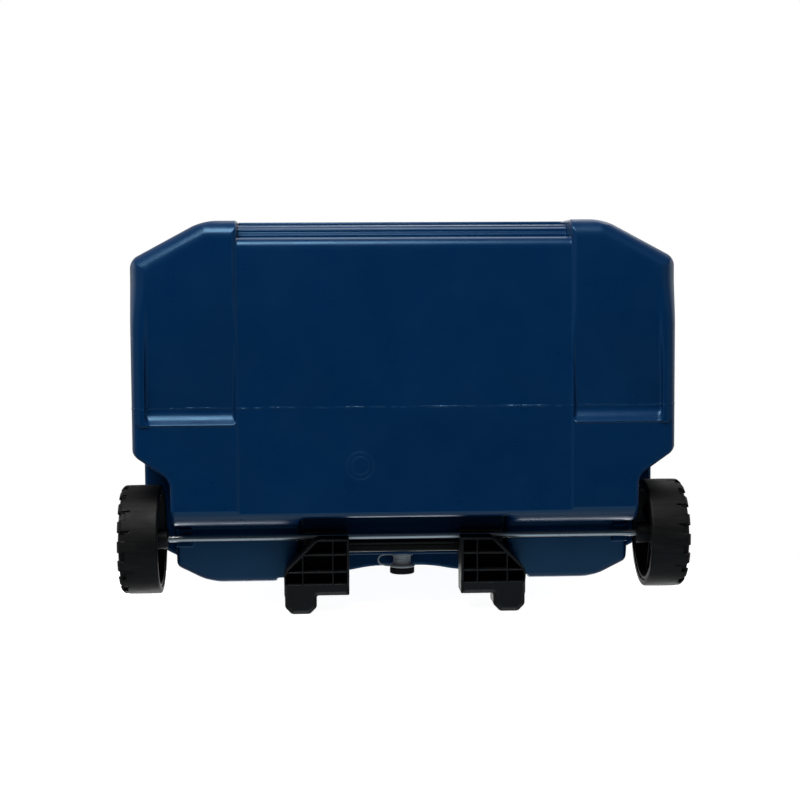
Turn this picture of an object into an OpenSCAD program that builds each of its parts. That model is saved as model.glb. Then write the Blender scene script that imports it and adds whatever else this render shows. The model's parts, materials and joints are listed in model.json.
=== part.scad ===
// Wheeled chest cooler of about 60 quarts: foamed body and hinged lid, two wheels on one axle,
// swinging side handles, a two-stage pull handle at the back and a tethered drain.
// +X is to the right, +Y to the back and +Z up, with z = 0 on the ground.

/* [Body] */
// Width of the body at its base
base_w = 620; // [617:1:621]
// Depth of the body at its base
base_d = 416; // [412:1:418]
// How far the back leans out between base and rim
taper = 10; // [8:0.5:10]
// How far the front leans out between base and rim
front_taper = 5; // [3:0.5:5]
// How far the sides lean out between base and rim
side_taper = 4; // [2:0.5:4]
// Height of the rim
rim_z = 389.4; // [387:0.2:389.6]
// Thickness of the moulded walls
wall = 3; // [2.5:0.1:3]
// Depth of the grip recesses under the front
grip_depth = 11; // [8:0.5:12]

/* [Lid] */
// Height of the lid above its lower edge
lid_h = 72; // [68:1:74]
// How far the lid stands out past the rim at the front and sides
lid_lap = 7; // [5:0.5:7]
// Diameter of the cup holders
cup_d = 84; // [76:1:88]
// Depth of the cup holders
cup_depth = 26; // [18:1:30]

/* [Wheels] */
// Radius of the wheels
wheel_r = 63.5; // [62:0.5:63.5]
// Width of the tread
tread_w = 49; // [46:0.5:49]
// Number of lugs on the outer shoulder
lug_count = 22; // [16:1:26]
// Diameter of the axle
axle_d = 8; // [7:0.5:8]

/* [Pull handle] */
// Outside diameter of the fixed tubes
outer_d = 22; // [21.6:0.1:22]
// Outside diameter of the middle tubes
middle_d = 19; // [18.6:0.1:19]
// Outside diameter of the inner tubes
inner_d = 16; // [15.4:0.1:16]
// Diameter of the bar between the brackets
bar_d = 15; // [13:0.5:15]

/* [Side handles] */
// Length of the side handles' grips
bail_w = 102; // [98:1:104]
// Drop from the pivot to the middle of the grip
bail_drop = 75; // [70:1:78]

/* [Drain] */
// Outside diameter of the drain spigot
spigot_d = 21.4; // [20:0.2:21.4]
// Height of the drain's centre
drain_z = 106; // [105:0.5:108]

/* [Hidden] */
$fn = 48;

navy = [0.03, 0.16, 0.30];
black = [0.10, 0.10, 0.11];
grey = [0.62, 0.63, 0.65];
steel = [0.72, 0.73, 0.75];
white = [0.93, 0.93, 0.91];
foam = [0.95, 0.88, 0.66];

// the middle of the body's plan, forward of the middle of the whole cooler
plan_y = -11.75;
// clearance between parts that move past each other, and of a running fit
gap = 0.4;
running = 0.05;
// reach of a cut past the surface that it opens
over = 1;

// corner cuts of the plan, and the direction square to them
corner_x = 82;
corner_y = 44;
corner_len = norm([corner_x, corner_y]);
corner_nx = corner_y / corner_len;
corner_ny = corner_x / corner_len;
base_edge = 12;

// underside of the body
panel_x = 192;
panel_front = -194;
panel_back = 107;
panel_depth = 4;
panel_slope = 3;
recess_x = 189;
recess_y = -193;
recess_low = 42;
recess_top = 54;
grip_front = -150;
grip_low = 2;
grip_back = 22;
grip_side = 296;
rear_relief = 2.5;
heel_r = 30;
tunnel_front = 139;
tunnel_low = 72;
tunnel_mid_y = 190;
tunnel_mid = 80;
tunnel_back_y = 228;
tunnel_back = 92;
well_x = 268;
well_z = 145;
pocket_x = 122;
pocket_front = 128;
pocket_low = 84;
pocket_flare_y = 165;
pocket_flare_x = 147;
pocket_flare_end = 240;
drain_wall = 183;
pocket_top = 125;
bay_x = 150;
bay_depth = 4.5;
channel_x = 43;
channel_mouth_x = 65;
channel_depth = 12;
far = 340;

// liner: x, front and back of its outside at the floor and at the rim
liner_z = 90;
liner_wall = 2.5;
liner_low = [258, -184, 173.4];
liner_high = [276, -193, 182];
flange_z = rim_z - 4;
flange_top = rim_z - 0.8;

// lid
lid_z = 390;
lid_front = base_d / 2 + front_taper + lid_lap;
lid_back = base_d / 2 + taper;
lid_side = base_w / 2 + side_taper + lid_lap;
plug_x = 262;
plug_front = -184;
plug_back = 172;
plug_z = 374;
scoop_x = 70;
scoop_depth = 9;
scoop_h = 12;
notch_depth = 6;
cup_x = 215;
cup_y = [-95, 50];

// hinges
hinge_x = 192;
hinge_y = 225;
hinge_z = 390;
hinge_half = 28;
knuckle_half = 10;
knuckle_r = 6;
hinge_pin_d = 5;
leaf_y = 218.4;
leaf_t = 3;
hinge_screw_x = 20;
base_screw_z = 356;
leaf_screw_z = 420;

// side handles
ear_x = 313.8;
pivot_x = 324.5;
pivot_z = 318;
ear_in = 52;
ear_out = 68;
trunnion_d = 8;
arm_t = 8;
bail_r = 9;

// wheels and axle
axle_y = 157;
axle_z = wheel_r;
wheel_in = 283;
tyre_t = 7.5;
rim_t = 4;
hub_r = 12;
hub_in = 276;
hub_out = 328.5;
axle_end = 332;
cap_out = 333.5;

// brackets and pull handle
bracket_in = 65;
bracket_low = 30;
bracket_top = 71.5;
bracket_wall = 3;
block_x = 118;
block_top = 83;
pad_top = 122;
bar_y = 167.5;
bar_z = 73;
bar_end = 80;
tube_x = 121.5;
tube_y = 229.5;
tube_wall = 1.1;
socket_r = 14;
outer_low = 52;
guide_low = 322;
guide_top = 352;
outer_top = 350;
middle_low = 58;
middle_top = 356;
yoke_low = 352.6;
yoke_top = 360.6;
inner_low = 64;
inner_top = 369.4;
handle_low = 361.4;
handle_top = 386;
handle_front = 219;
handle_back = 243.5;
handle_half = 137;
button_half = 22;
button_top = 389;
button_low = 376;
link_low = 374;
link_top = 378;
rod_low = 84;
rod_d = 4;

// drain
flange_r = 13;
neck_d = 18;
neck_bore_d = 13;
neck_end = 161;
spigot_end = 203;
nut_y = [162, 168.4];
gasket_y = [168.4, 170.8];
ring_y = [198.4, 201.2];
cap_y = [201.5, 209];
ring_r = 15.5;
cap_r = 14.8;

// screws: shank, and head radius and height
screw_d = 4;
head_r = 4;
head_h = 2.4;

// ---------- shared shapes ----------

module in_plan() translate([0, plan_y, 0]) children();

module both_sides() {
    children();
    mirror([1, 0, 0]) children();
}

module on_side(s) {
    if (s > 0) children();
    else mirror([1, 0, 0]) children();
}

module block(low, high) translate(low) cube(high - low);

module along_x(x0, x1) translate([x0, 0, 0]) rotate([90, 0, 90]) linear_extrude(x1 - x0) children();

module rod_x(x0, x1, y, z, r) translate([x0, y, z]) rotate([0, 90, 0]) cylinder(r = r, h = x1 - x0);

module rod_y(x, y0, y1, z, r) translate([x, y0, z]) rotate([-90, 0, 0]) cylinder(r = r, h = y1 - y0);

module rod_z(x, y, z0, z1, r) translate([x, y, z0]) cylinder(r = r, h = z1 - z0);

// outline with cut corners between the given sides, moved in by t all round
function octagon(x, front, back, t = 0) = let (
    a = corner_x - t * (1 - (1 - corner_ny) / corner_nx),
    b = corner_y - t * (1 - (1 - corner_nx) / corner_ny),
    w = x - t,
    f = front + t,
    k = back - t
) [
    [a - w, f], [w - a, f], [w, f + b], [w, k - b],
    [w - a, k], [a - w, k], [-w, k - b], [-w, f + b]
];

// closed solid through a stack of [height, outline] rings with the same number of points
module loft(rings) {
    n = len(rings[0][1]);
    last = len(rings) - 1;
    points = [for (ring = rings) for (p = ring[1]) [p.x, p.y, ring[0]]];
    base = [for (i = [0:n - 1]) i];
    top = [for (i = [n - 1:-1:0]) last * n + i];
    sides = [
        for (k = [0:last - 1]) for (i = [0:n - 1])
            let (j = (i + 1) % n) [k * n + i, k * n + n + i, k * n + n + j, k * n + j]
    ];
    polyhedron(points, concat([base, top], sides));
}

module screw_y(x, y, z, length) {
    rod_y(x, y, y + head_h, z, head_r);
    rod_y(x, y - length, y + over / 2, z, screw_d / 2);
}

// ---------- body ----------

function lean(z) = taper * z / rim_z;

function body_ring(z, t) = octagon(
    base_w / 2 + side_taper * z / rim_z, -base_d / 2 - front_taper * z / rim_z, base_d / 2 + lean(z), t
);

// the body's outer form, or with t the same form moved in by t
module body_form(t = 0) {
    top = rim_z + (t > 0 ? over : 0);
    soft = base_edge + 0.4 * t;
    difference() {
        loft([
            [t, body_ring(0, soft)],
            [soft, body_ring(soft, t)],
            [top, body_ring(top, t)]
        ]);
        centre_panel(t);
        front_recess(t);
        both_sides() finger_grip(t);
        both_sides() block([panel_x - over, grip_back, -over], [far, panel_back + heel_r, rear_relief + t]);
        tunnel(t);
        both_sides() wheel_well(t);
        drain_pocket(t);
        handle_bay(t);
        centre_channel(t);
    }
}

module centre_panel(t) {
    function edge(e) = [
        [-panel_x - e, panel_front - e], [panel_x + e, panel_front - e],
        [panel_x + e, panel_back + heel_r], [-panel_x - e, panel_back + heel_r]
    ];
    loft([[-over, edge(panel_slope + over + t)], [panel_depth + t, edge(t)]]);
}

// sunk middle of the front wall, open to the panel under it
module front_recess(t) {
    along_x(-recess_x - t, recess_x + t) polygon([
        [-far, -over], [recess_y + t, -over], [recess_y + t, recess_low + t],
        [-base_d / 2 - 2 * over, recess_top + t + over], [-far, recess_top + t + over]
    ]);
}

module finger_grip(t) {
    along_x(panel_x - over, grip_side + t) polygon([
        [grip_front - t, -over], [grip_front - t, 0], [grip_low, grip_depth + t],
        [grip_back + t, t], [grip_back + t, -over]
    ]);
}

// everything under the back of the body, from the rounded heel to the back wall
module tunnel(t) {
    r = heel_r - t;
    heel = [for (a = [-90:10:0]) [panel_back + r * cos(a), heel_r + r * sin(a)]];
    along_x(-far, far) polygon(concat(
        [[panel_back, -over]],
        heel,
        [
            [tunnel_front - t, tunnel_low + t], [tunnel_mid_y, tunnel_mid + t],
            [tunnel_back_y, tunnel_back + t], [far, tunnel_back + t], [far, -over]
        ]
    ));
}

module wheel_well(t) {
    x = well_x - t;
    translate([0, 0, -over]) linear_extrude(well_z + t + over) polygon([
        [x, 76 - t], [302, 52 - t], [far, 25 - t], [far, far], [x, far]
    ]);
}

module drain_pocket(t) {
    function plan(x0, front) = [
        [-x0 - t, front - t], [x0 + t, front - t], [x0 + t, pocket_flare_y], [pocket_flare_x + t, pocket_flare_end],
        [-pocket_flare_x - t, pocket_flare_end], [-x0 - t, pocket_flare_y]
    ];
    translate([0, 0, -over]) linear_extrude(pocket_low + t + over) polygon(plan(pocket_x, pocket_front));
    translate([0, 0, -over]) linear_extrude(pocket_top + t + over) intersection() {
        polygon(plan(pocket_x, pocket_front));
        translate([-far, drain_wall - t]) square([2 * far, far]);
    }
}

// shallow bay in the back wall for the pull handle
module handle_bay(t) {
    wall_y = base_d / 2 - bay_depth - t;
    along_x(-bay_x - t, bay_x + t) polygon([
        [wall_y, 0], [wall_y + lean(rim_z + 2 * over), rim_z + 2 * over], [far, rim_z + 2 * over], [far, 0]
    ]);
}

// deeper channel behind the grip, for the fingers
module centre_channel(t) {
    function plan(z) = let (y = base_d / 2 - bay_depth - t + lean(z)) [
        [-channel_x - t, y - channel_depth], [channel_x + t, y - channel_depth], [channel_mouth_x + t, y],
        [channel_mouth_x + t, far], [-channel_mouth_x - t, far], [-channel_mouth_x - t, y]
    ];
    loft([[0, plan(0)], [rim_z + 2 * over, plan(rim_z + 2 * over)]]);
}

module body_shell() {
    color(navy) in_plan() difference() {
        union() {
            difference() {
                body_form();
                body_form(wall);
            }
            both_sides() axle_saddle();
        }
        rod_y(0, drain_wall - 2 * wall, drain_wall + over, drain_z, neck_d / 2);
        body_screw_holes();
    }
}

// moulded pad that bears on the axle beside each wheel well
module axle_saddle() {
    block([250, axle_y - 11, axle_z + axle_d / 2], [well_x, axle_y + 11, tunnel_low + 2.5]);
}

module body_screw_holes() {
    hinge_base_screw_set();
    bracket_screw_set();
    guide_screw_set();
    ear_screw_set();
}

module body_foam() {
    color(foam) in_plan() difference() {
        body_form(wall);
        translate([-far, -far, flange_z]) cube([2 * far, 2 * far, far]);
        liner_bucket();
        rod_y(0, neck_end, drain_wall, drain_z, neck_d / 2);
        body_screw_holes();
    }
}

function liner_ring(z, t) = let (
    s = (z - liner_z) / (rim_z - liner_z),
    at = liner_low + s * (liner_high - liner_low)
) octagon(at[0], at[1], at[2], t);

module liner_bucket(t = 0) {
    top = rim_z + (t > 0 ? over : 0);
    loft([[liner_z + t, liner_ring(liner_z + t, t)], [top, liner_ring(top, t)]]);
}

module body_liner() {
    color(white) in_plan() difference() {
        union() {
            intersection() {
                liner_bucket();
                translate([-far, -far, 0]) cube([2 * far, 2 * far, flange_top]);
            }
            intersection() {
                body_form(wall);
                translate([-far, -far, flange_z]) cube([2 * far, 2 * far, flange_top - flange_z]);
            }
        }
        liner_bucket(liner_wall);
        rod_y(0, gasket_y[0] - over, drain_wall, drain_z, neck_d / 2);
    }
}

// ---------- lid ----------

// the lid's outer form, or with t the same form moved in by t
module lid_form(t = 0) {
    base = lid_z - (t > 0 ? over : 0);
    function ring(e) = octagon(lid_side, -lid_front, lid_back, e + t);
    difference() {
        loft([
            [base, ring(0)], [lid_z + lid_h - 26, ring(3)],
            [lid_z + lid_h - 16 - t, ring(8)], [lid_z + lid_h - 7 - t, ring(20)], [lid_z + lid_h - t, ring(70)]
        ]);
        pull_scoop(t);
        translate([-bay_x - t, base_d / 2 + taper - notch_depth - t, lid_z - 2 * over])
            cube([2 * (bay_x + t), far, 2 * lid_h]);
        for (x = [-cup_x, cup_x]) for (y = cup_y)
            rod_z(x, y, lid_z + lid_h - cup_depth - t, lid_z + 2 * lid_h, cup_d / 2 + t);
    }
}

// room for the fingers under the front edge of the lid
module pull_scoop(t) {
    block([-scoop_x - t, -far, lid_z - 2 * over], [scoop_x + t, scoop_depth - lid_front + t, lid_z + scoop_h + t]);
}

module lid_shell() {
    color(white) in_plan() difference() {
        lid_form();
        lid_form(wall);
        hinge_leaf_screw_set();
    }
}

module lid_plate() {
    intersection() {
        lid_form(wall);
        translate([-far, -far, lid_z]) cube([2 * far, 2 * far, wall]);
    }
}

module lid_plug(t = 0) {
    loft([
        [plug_z + t, octagon(plug_x - 2, plug_front + 2, plug_back - 2, t)],
        [lid_z + wall + (t > 0 ? over : 0), octagon(plug_x, plug_front, plug_back, t)]
    ]);
}

module lid_liner() {
    color(white) in_plan() difference() {
        union() {
            lid_plate();
            lid_plug();
        }
        lid_plug(wall);
    }
}

module lid_foam() {
    color(foam) in_plan() difference() {
        union() {
            intersection() {
                lid_form(wall);
                translate([-far, -far, lid_z + wall]) cube([2 * far, 2 * far, lid_h]);
            }
            intersection() {
                lid_plug(wall);
                translate([-far, -far, 0]) cube([2 * far, 2 * far, lid_z + wall]);
            }
        }
        hinge_leaf_screw_set();
    }
}

// ---------- hinges ----------

module knuckle(x0, x1, up) {
    rod_x(x0, x1, hinge_y, hinge_z, knuckle_r);
    block([x0, leaf_y, hinge_z - (up ? 0 : 10)], [x1, hinge_y, hinge_z + (up ? 10 : 0)]);
}

module hinge_base() {
    translate([hinge_x, 0, 0]) difference() {
        union() {
            block([-hinge_half, leaf_y, 344], [hinge_half, leaf_y + leaf_t, hinge_z - 7]);
            both_sides() knuckle(knuckle_half + gap, hinge_half, false);
        }
        rod_x(-far, far, hinge_y, hinge_z, hinge_pin_d / 2);
        both_sides() rod_y(hinge_screw_x, 0, far, base_screw_z, screw_d / 2);
    }
}

module hinge_leaf() {
    translate([hinge_x, 0, 0]) difference() {
        union() {
            block([-hinge_half, leaf_y, hinge_z + 7.5], [hinge_half, leaf_y + leaf_t, hinge_z + 42]);
            knuckle(-knuckle_half, knuckle_half, true);
        }
        rod_x(-far, far, hinge_y, hinge_z, hinge_pin_d / 2 + running);
        both_sides() rod_y(hinge_screw_x, 0, far, leaf_screw_z, screw_d / 2);
    }
}

module hinge_pin() rod_x(hinge_x - hinge_half - 1, hinge_x + hinge_half + 1, hinge_y, hinge_z, hinge_pin_d / 2);

module hinge_screw_set(z, length) {
    both_sides() for (x = [-hinge_screw_x, hinge_screw_x])
        screw_y(hinge_x + x, leaf_y + leaf_t, z, length);
}

module hinge_base_screw_set() hinge_screw_set(base_screw_z, 12);
module hinge_leaf_screw_set() hinge_screw_set(leaf_screw_z, 12);

module left_hinge_base() color(black) in_plan() on_side(-1) hinge_base();
module right_hinge_base() color(black) in_plan() on_side(1) hinge_base();
module left_hinge_leaf() color(black) in_plan() on_side(-1) hinge_leaf();
module right_hinge_leaf() color(black) in_plan() on_side(1) hinge_leaf();
module left_hinge_pin() color(steel) in_plan() on_side(-1) hinge_pin();
module right_hinge_pin() color(steel) in_plan() on_side(1) hinge_pin();
module hinge_base_screws() color(steel) in_plan() hinge_base_screw_set();
module hinge_leaf_screws() color(steel) in_plan() hinge_leaf_screw_set();

// ---------- side handles ----------

module ear() {
    difference() {
        union() {
            block([ear_x, ear_in, pivot_z - 20], [ear_x + 3, ear_out + 8, pivot_z + 17]);
            rod_y(pivot_x, ear_in, ear_out, pivot_z, 9);
            block([ear_x, ear_in, pivot_z - 9], [pivot_x, ear_out, pivot_z + 9]);
        }
        rod_y(pivot_x, ear_in - over, ear_out - 1.6, pivot_z, trunnion_d / 2 + running);
        ear_screw_holes();
    }
}

module ear_screw_holes() {
    for (z = [pivot_z - 14, pivot_z + 13]) rod_x(ear_x - over, far, ear_out + 3, z, screw_d / 2);
}

module ear_set() {
    ear();
    mirror([0, 1, 0]) ear();
}

module ear_screw_set() {
    both_sides() for (y = [-ear_out - 3, ear_out + 3]) for (z = [pivot_z - 14, pivot_z + 13]) {
        rod_x(ear_x + 3, ear_x + 3 + head_h, y, z, head_r);
        rod_x(ear_x - 7, ear_x + 3 + over / 2, y, z, screw_d / 2);
    }
}

module bail() {
    side = bail_w / 2;
    rod_y(pivot_x, -side, side, pivot_z - bail_drop, bail_r);
    for (s = [-1, 1]) {
        y0 = s > 0 ? side - arm_t : -side;
        rod_y(pivot_x, y0, y0 + arm_t, pivot_z, 7);
        block([pivot_x - 5, y0, pivot_z - bail_drop], [pivot_x + 5, y0 + arm_t, pivot_z]);
        p0 = s > 0 ? side - over : -side - 15;
        rod_y(pivot_x, p0, p0 + 15 + over, pivot_z, trunnion_d / 2);
    }
}

module left_side_handle() color(black) in_plan() on_side(-1) bail();
module right_side_handle() color(black) in_plan() on_side(1) bail();
module left_handle_ears() color(black) in_plan() on_side(-1) ear_set();
module right_handle_ears() color(black) in_plan() on_side(1) ear_set();
module ear_screws() color(steel) in_plan() ear_screw_set();

// ---------- brackets under the back ----------

// plan of a bracket: a block with a lobe that holds the handle tube, moved in by t
function bracket_plan(t = 0) = [
    [bracket_in + t, 162 + t], [103 - 0.4 * t, 162 + t], [140 - t, 197 + 0.6 * t], [140 - t, 236 - 0.4 * t],
    [132 - 0.4 * t, 243.5 - t], [111 + 0.4 * t, 243.5 - t], [103 + t, 236 - 0.4 * t], [103 + t, 222 - t],
    [bracket_in + t, 222 - t]
];

module bracket() {
    difference() {
        union() {
            bracket_tray();
            rod_z(tube_x, tube_y, bracket_low + 20, bracket_top + 28, socket_r);
            block([bracket_in, 162, bracket_top - over], [block_x, drain_wall, block_top]);
            block([bracket_in + 2, drain_wall + 0.2, bracket_top - over], [block_x - 2, drain_wall + 4, pad_top]);
            for (x = [bracket_in + 2, 90, block_x - 5])
                block([x, drain_wall + 0.2, bracket_top - over], [x + bracket_wall, 203, 100]);
            block([bracket_in, 158, axle_z - 2], [bar_end + 2, bar_y + 11, block_top]);
            axle_hook();
        }
        rod_x(bracket_in - over, bar_end, bar_y, bar_z, bar_d / 2);
        rod_x(0, far, axle_y, axle_z, axle_d / 2 + running);
        block([0, axle_y - 3, 0], [far, axle_y + 3, axle_z]);
        rod_z(tube_x, tube_y, outer_low, far, outer_d / 2);
        rod_z(tube_x, tube_y, 0, far, outer_d / 2 - 2);
        for (x = [78, 106]) rod_y(x, 0, far, 112, screw_d / 2);
    }
}

// open-bottomed tray with ribs between its cells
module bracket_tray() {
    difference() {
        translate([0, 0, bracket_low]) linear_extrude(bracket_top - bracket_low) polygon(bracket_plan());
        difference() {
            translate([0, 0, bracket_low - over]) linear_extrude(bracket_top - bracket_low - 2)
                polygon(bracket_plan(bracket_wall));
            for (y = [181, 200, 219]) block([0, y, 0], [far, y + 2.4, far]);
            for (x = [85, 117]) block([x, 0, 0], [x + 2.4, 222, far]);
        }
    }
}

module axle_hook() {
    block([bracket_in + 1, axle_y - 7, axle_z - 4.5], [block_x - 2, 163, block_top - 6]);
}

module bracket_screw_set() {
    both_sides() for (x = [78, 106]) screw_y(x, drain_wall + 4, 112, 6.5);
}

module left_bracket() color(black) in_plan() on_side(-1) bracket();
module right_bracket() color(black) in_plan() on_side(1) bracket();
module bracket_screws() color(steel) in_plan() bracket_screw_set();
module cross_bar() color(black) in_plan() rod_x(-bar_end, bar_end, bar_y, bar_z, bar_d / 2);

// ---------- pull handle ----------

module tube(low, top, d) {
    difference() {
        rod_z(tube_x, tube_y, low, top, d / 2);
        rod_z(tube_x, tube_y, low - over, top + over, d / 2 - tube_wall);
    }
}

module tube_guide() {
    wall_y = base_d / 2 + taper - bay_depth;
    color(black) in_plan() difference() {
        union() {
            both_sides() {
                rod_z(tube_x, tube_y, guide_low, guide_top, socket_r);
                block([tube_x - socket_r, wall_y, guide_low], [tube_x + socket_r, tube_y, guide_top]);
            }
            block([-tube_x, wall_y, guide_low], [tube_x, wall_y + 5, guide_top]);
        }
        both_sides() {
            rod_z(tube_x, tube_y, guide_low - over, outer_top, outer_d / 2);
            rod_z(tube_x, tube_y, guide_low - over, guide_top + over, outer_d / 2 - tube_wall);
        }
        for (x = [-84, 84]) for (z = [329, 345]) rod_y(x, 0, far, z, screw_d / 2);
    }
}

module guide_screw_set() {
    wall_y = base_d / 2 + taper - bay_depth;
    for (x = [-84, 84]) for (z = [329, 345]) screw_y(x, wall_y + 5, z, 14);
}

module guide_screws() color(steel) in_plan() guide_screw_set();
module left_outer_tube() color(black) in_plan() on_side(-1) tube(outer_low, outer_top, outer_d);
module right_outer_tube() color(black) in_plan() on_side(1) tube(outer_low, outer_top, outer_d);
module left_middle_tube() color(grey) in_plan() on_side(-1) tube(middle_low, middle_top, middle_d);
module right_middle_tube() color(grey) in_plan() on_side(1) tube(middle_low, middle_top, middle_d);
module left_inner_tube() color(grey) in_plan() on_side(-1) tube(inner_low, inner_top, inner_d);
module right_inner_tube() color(grey) in_plan() on_side(1) tube(inner_low, inner_top, inner_d);

module middle_yoke() {
    color(black) in_plan() difference() {
        union() {
            both_sides() rod_z(tube_x, tube_y, yoke_low, yoke_top, socket_r - 2.2);
            block([-tube_x, tube_y - 5, yoke_low], [tube_x, tube_y + 5, yoke_top]);
        }
        both_sides() {
            rod_z(tube_x, tube_y, yoke_low - over, middle_top, middle_d / 2);
            rod_z(tube_x, tube_y, yoke_low - over, yoke_top + over, inner_d / 2 + gap);
        }
    }
}

// plan of the grip, with round ends
function grip_plan(half, front, back) = let (r = (back - front) / 2, mid = (back + front) / 2) concat(
    [for (a = [-90:15:90]) [half - r + r * cos(a), mid + r * sin(a)]],
    [for (a = [90:15:270]) [r - half + r * cos(a), mid + r * sin(a)]]
);

module handle_grip() {
    color(black) in_plan() difference() {
        translate([0, 0, handle_low]) linear_extrude(handle_top - handle_low)
            polygon(grip_plan(handle_half, handle_front, handle_back));
        both_sides() {
            rod_z(tube_x, tube_y, handle_low - over, inner_top, inner_d / 2);
            rod_z(tube_x, tube_y, inner_top - over, link_low, inner_d / 2 - tube_wall);
        }
        block([-tube_x - 6, tube_y - 6, link_low - 3.8], [tube_x + 6, tube_y + 6, link_top + 3]);
        block([-button_half - gap, tube_y - 8 - gap, link_low - 4], [button_half + gap, tube_y + 8 + gap, far + rim_z]);
    }
}

module grip_button() {
    color(black) in_plan() difference() {
        union() {
            block([-button_half, tube_y - 8, button_low], [button_half, tube_y + 8, button_top]);
            block([-tube_x - 3, tube_y - 3, link_low], [tube_x + 3, tube_y + 3, link_top]);
        }
        both_sides() rod_z(tube_x, tube_y, link_low - over, link_top - 1, rod_d / 2);
    }
}

module release_rods() {
    color(steel) in_plan() both_sides() rod_z(tube_x, tube_y, rod_low, link_top - 1, rod_d / 2);
}

module lock_plugs() {
    color(black) in_plan() both_sides() rod_z(tube_x, tube_y, inner_low + 1, inner_low + 14, inner_d / 2 - tube_wall);
}

// ---------- wheels ----------

// turns a profile of [radius, x] points about the wheel's axis
module spin_x() translate([0, axle_y, axle_z]) rotate([0, 90, 0]) rotate_extrude($fn = 96) children();

module tyre() {
    out = wheel_in + tread_w;
    r = wheel_r;
    core = wheel_r - tyre_t;
    difference() {
        spin_x() polygon([
            [core, wheel_in], [r - 3, wheel_in], [r, wheel_in + 4], [r, out - 6], [r - 4.5, out], [core, out]
        ]);
        for (i = [0:lug_count - 1])
            translate([0, axle_y, axle_z]) rotate([i * 360 / lug_count, 0, 0])
                block([out - 9, -2.2, r - 2.4], [out + over, 2.2, r + over]);
    }
}

module wheel() {
    out = wheel_in + tread_w - 2;
    core = wheel_r - tyre_t;
    difference() {
        union() {
            spin_x() polygon([
                [0, hub_in], [hub_r, hub_in], [hub_r, out - 14], [core - rim_t, out - 12], [core - rim_t, wheel_in + 2],
                [core, wheel_in + 2], [core, out], [core - rim_t, out], [core - rim_t - 3, out - 8], [hub_r + 6, out - 8],
                [hub_r + 2, hub_out], [0, hub_out]
            ]);
            translate([0, axle_y, axle_z]) for (i = [0:7]) rotate([i * 45, 0, 0])
                block([hub_in + 14, -1.5, hub_r - 2], [out - 11, 1.5, core - rim_t + 1]);
        }
        rod_x(hub_in - over, hub_out + over, axle_y, axle_z, axle_d / 2 + running);
    }
}

module axle_cap() {
    difference() {
        rod_x(hub_out + gap, cap_out, axle_y, axle_z, 11);
        rod_x(hub_out, axle_end, axle_y, axle_z, axle_d / 2);
    }
}

module axle() color(steel) in_plan() rod_x(-axle_end, axle_end, axle_y, axle_z, axle_d / 2);
module left_wheel() color(black) in_plan() on_side(-1) wheel();
module right_wheel() color(black) in_plan() on_side(1) wheel();
module left_tyre() color(black) in_plan() on_side(-1) tyre();
module right_tyre() color(black) in_plan() on_side(1) tyre();
module left_axle_cap() color(steel) in_plan() on_side(-1) axle_cap();
module right_axle_cap() color(steel) in_plan() on_side(1) axle_cap();

// ---------- drain ----------

module washer_y(y, outer_r, inner_r) {
    difference() {
        rod_y(0, y[0], y[1], drain_z, outer_r);
        rod_y(0, y[0] - over, y[1] + over, drain_z, inner_r);
    }
}

module drain_spigot() {
    color(grey) in_plan() difference() {
        union() {
            rod_y(0, neck_end, drain_wall + over, drain_z, neck_d / 2);
            rod_y(0, drain_wall, drain_wall + 2.5, drain_z, flange_r);
            rod_y(0, drain_wall, spigot_end, drain_z, spigot_d / 2);
        }
        rod_y(0, neck_end - over, spigot_end + over, drain_z, neck_bore_d / 2);
    }
}

module drain_gasket() color(black) in_plan() washer_y(gasket_y, 13, neck_d / 2);

module drain_nut() {
    color(grey) in_plan() difference() {
        union() {
            rod_y(0, nut_y[0], nut_y[1], drain_z, 12);
            for (a = [0:60:300]) translate([0, 0, drain_z]) rotate([0, a, 0])
                block([10, nut_y[0], -2], [13, nut_y[1], 2]);
        }
        rod_y(0, 0, far, drain_z, neck_d / 2);
    }
}

module drain_ring() color(grey) in_plan() washer_y(ring_y, ring_r, spigot_d / 2 + gap);

module drain_cap() {
    color(black) in_plan() difference() {
        rod_y(0, cap_y[0], cap_y[1], drain_z, cap_r);
        rod_y(0, cap_y[0] - over, cap_y[0] + 3.8, drain_z, spigot_d / 2 + gap);
        for (a = [0:30:330]) translate([0, 0, drain_z]) rotate([0, a, 0])
            rod_y(cap_r + 1, cap_y[0] - over, cap_y[1] + over, 0, 2);
    }
}

module drain_seal() {
    color(black) in_plan() rod_y(0, spigot_end + gap, cap_y[0] + 3.8, drain_z, spigot_d / 2 + gap - 0.1);
}

// strap that loops from a collar beside the flange to the ring behind the cap
module drain_tether() {
    mid = 193.3;
    r = 7;
    t = 1.6;
    color(grey) in_plan() {
        washer_y([drain_wall + 2.5, drain_wall + 2.5 + t], flange_r, spigot_d / 2);
        translate([0, 0, drain_z - 4]) linear_extrude(8) {
            difference() {
                translate([-21, mid]) circle(r + t / 2);
                translate([-21, mid]) circle(r - t / 2);
                translate([-21, 0]) square([far, far]);
            }
            translate([-21, mid + r - t / 2]) square([21 - ring_r - 0.6, t]);
            translate([-21, mid - r - t / 2]) square([21 - flange_r + 2, t]);
        }
    }
}

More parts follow.
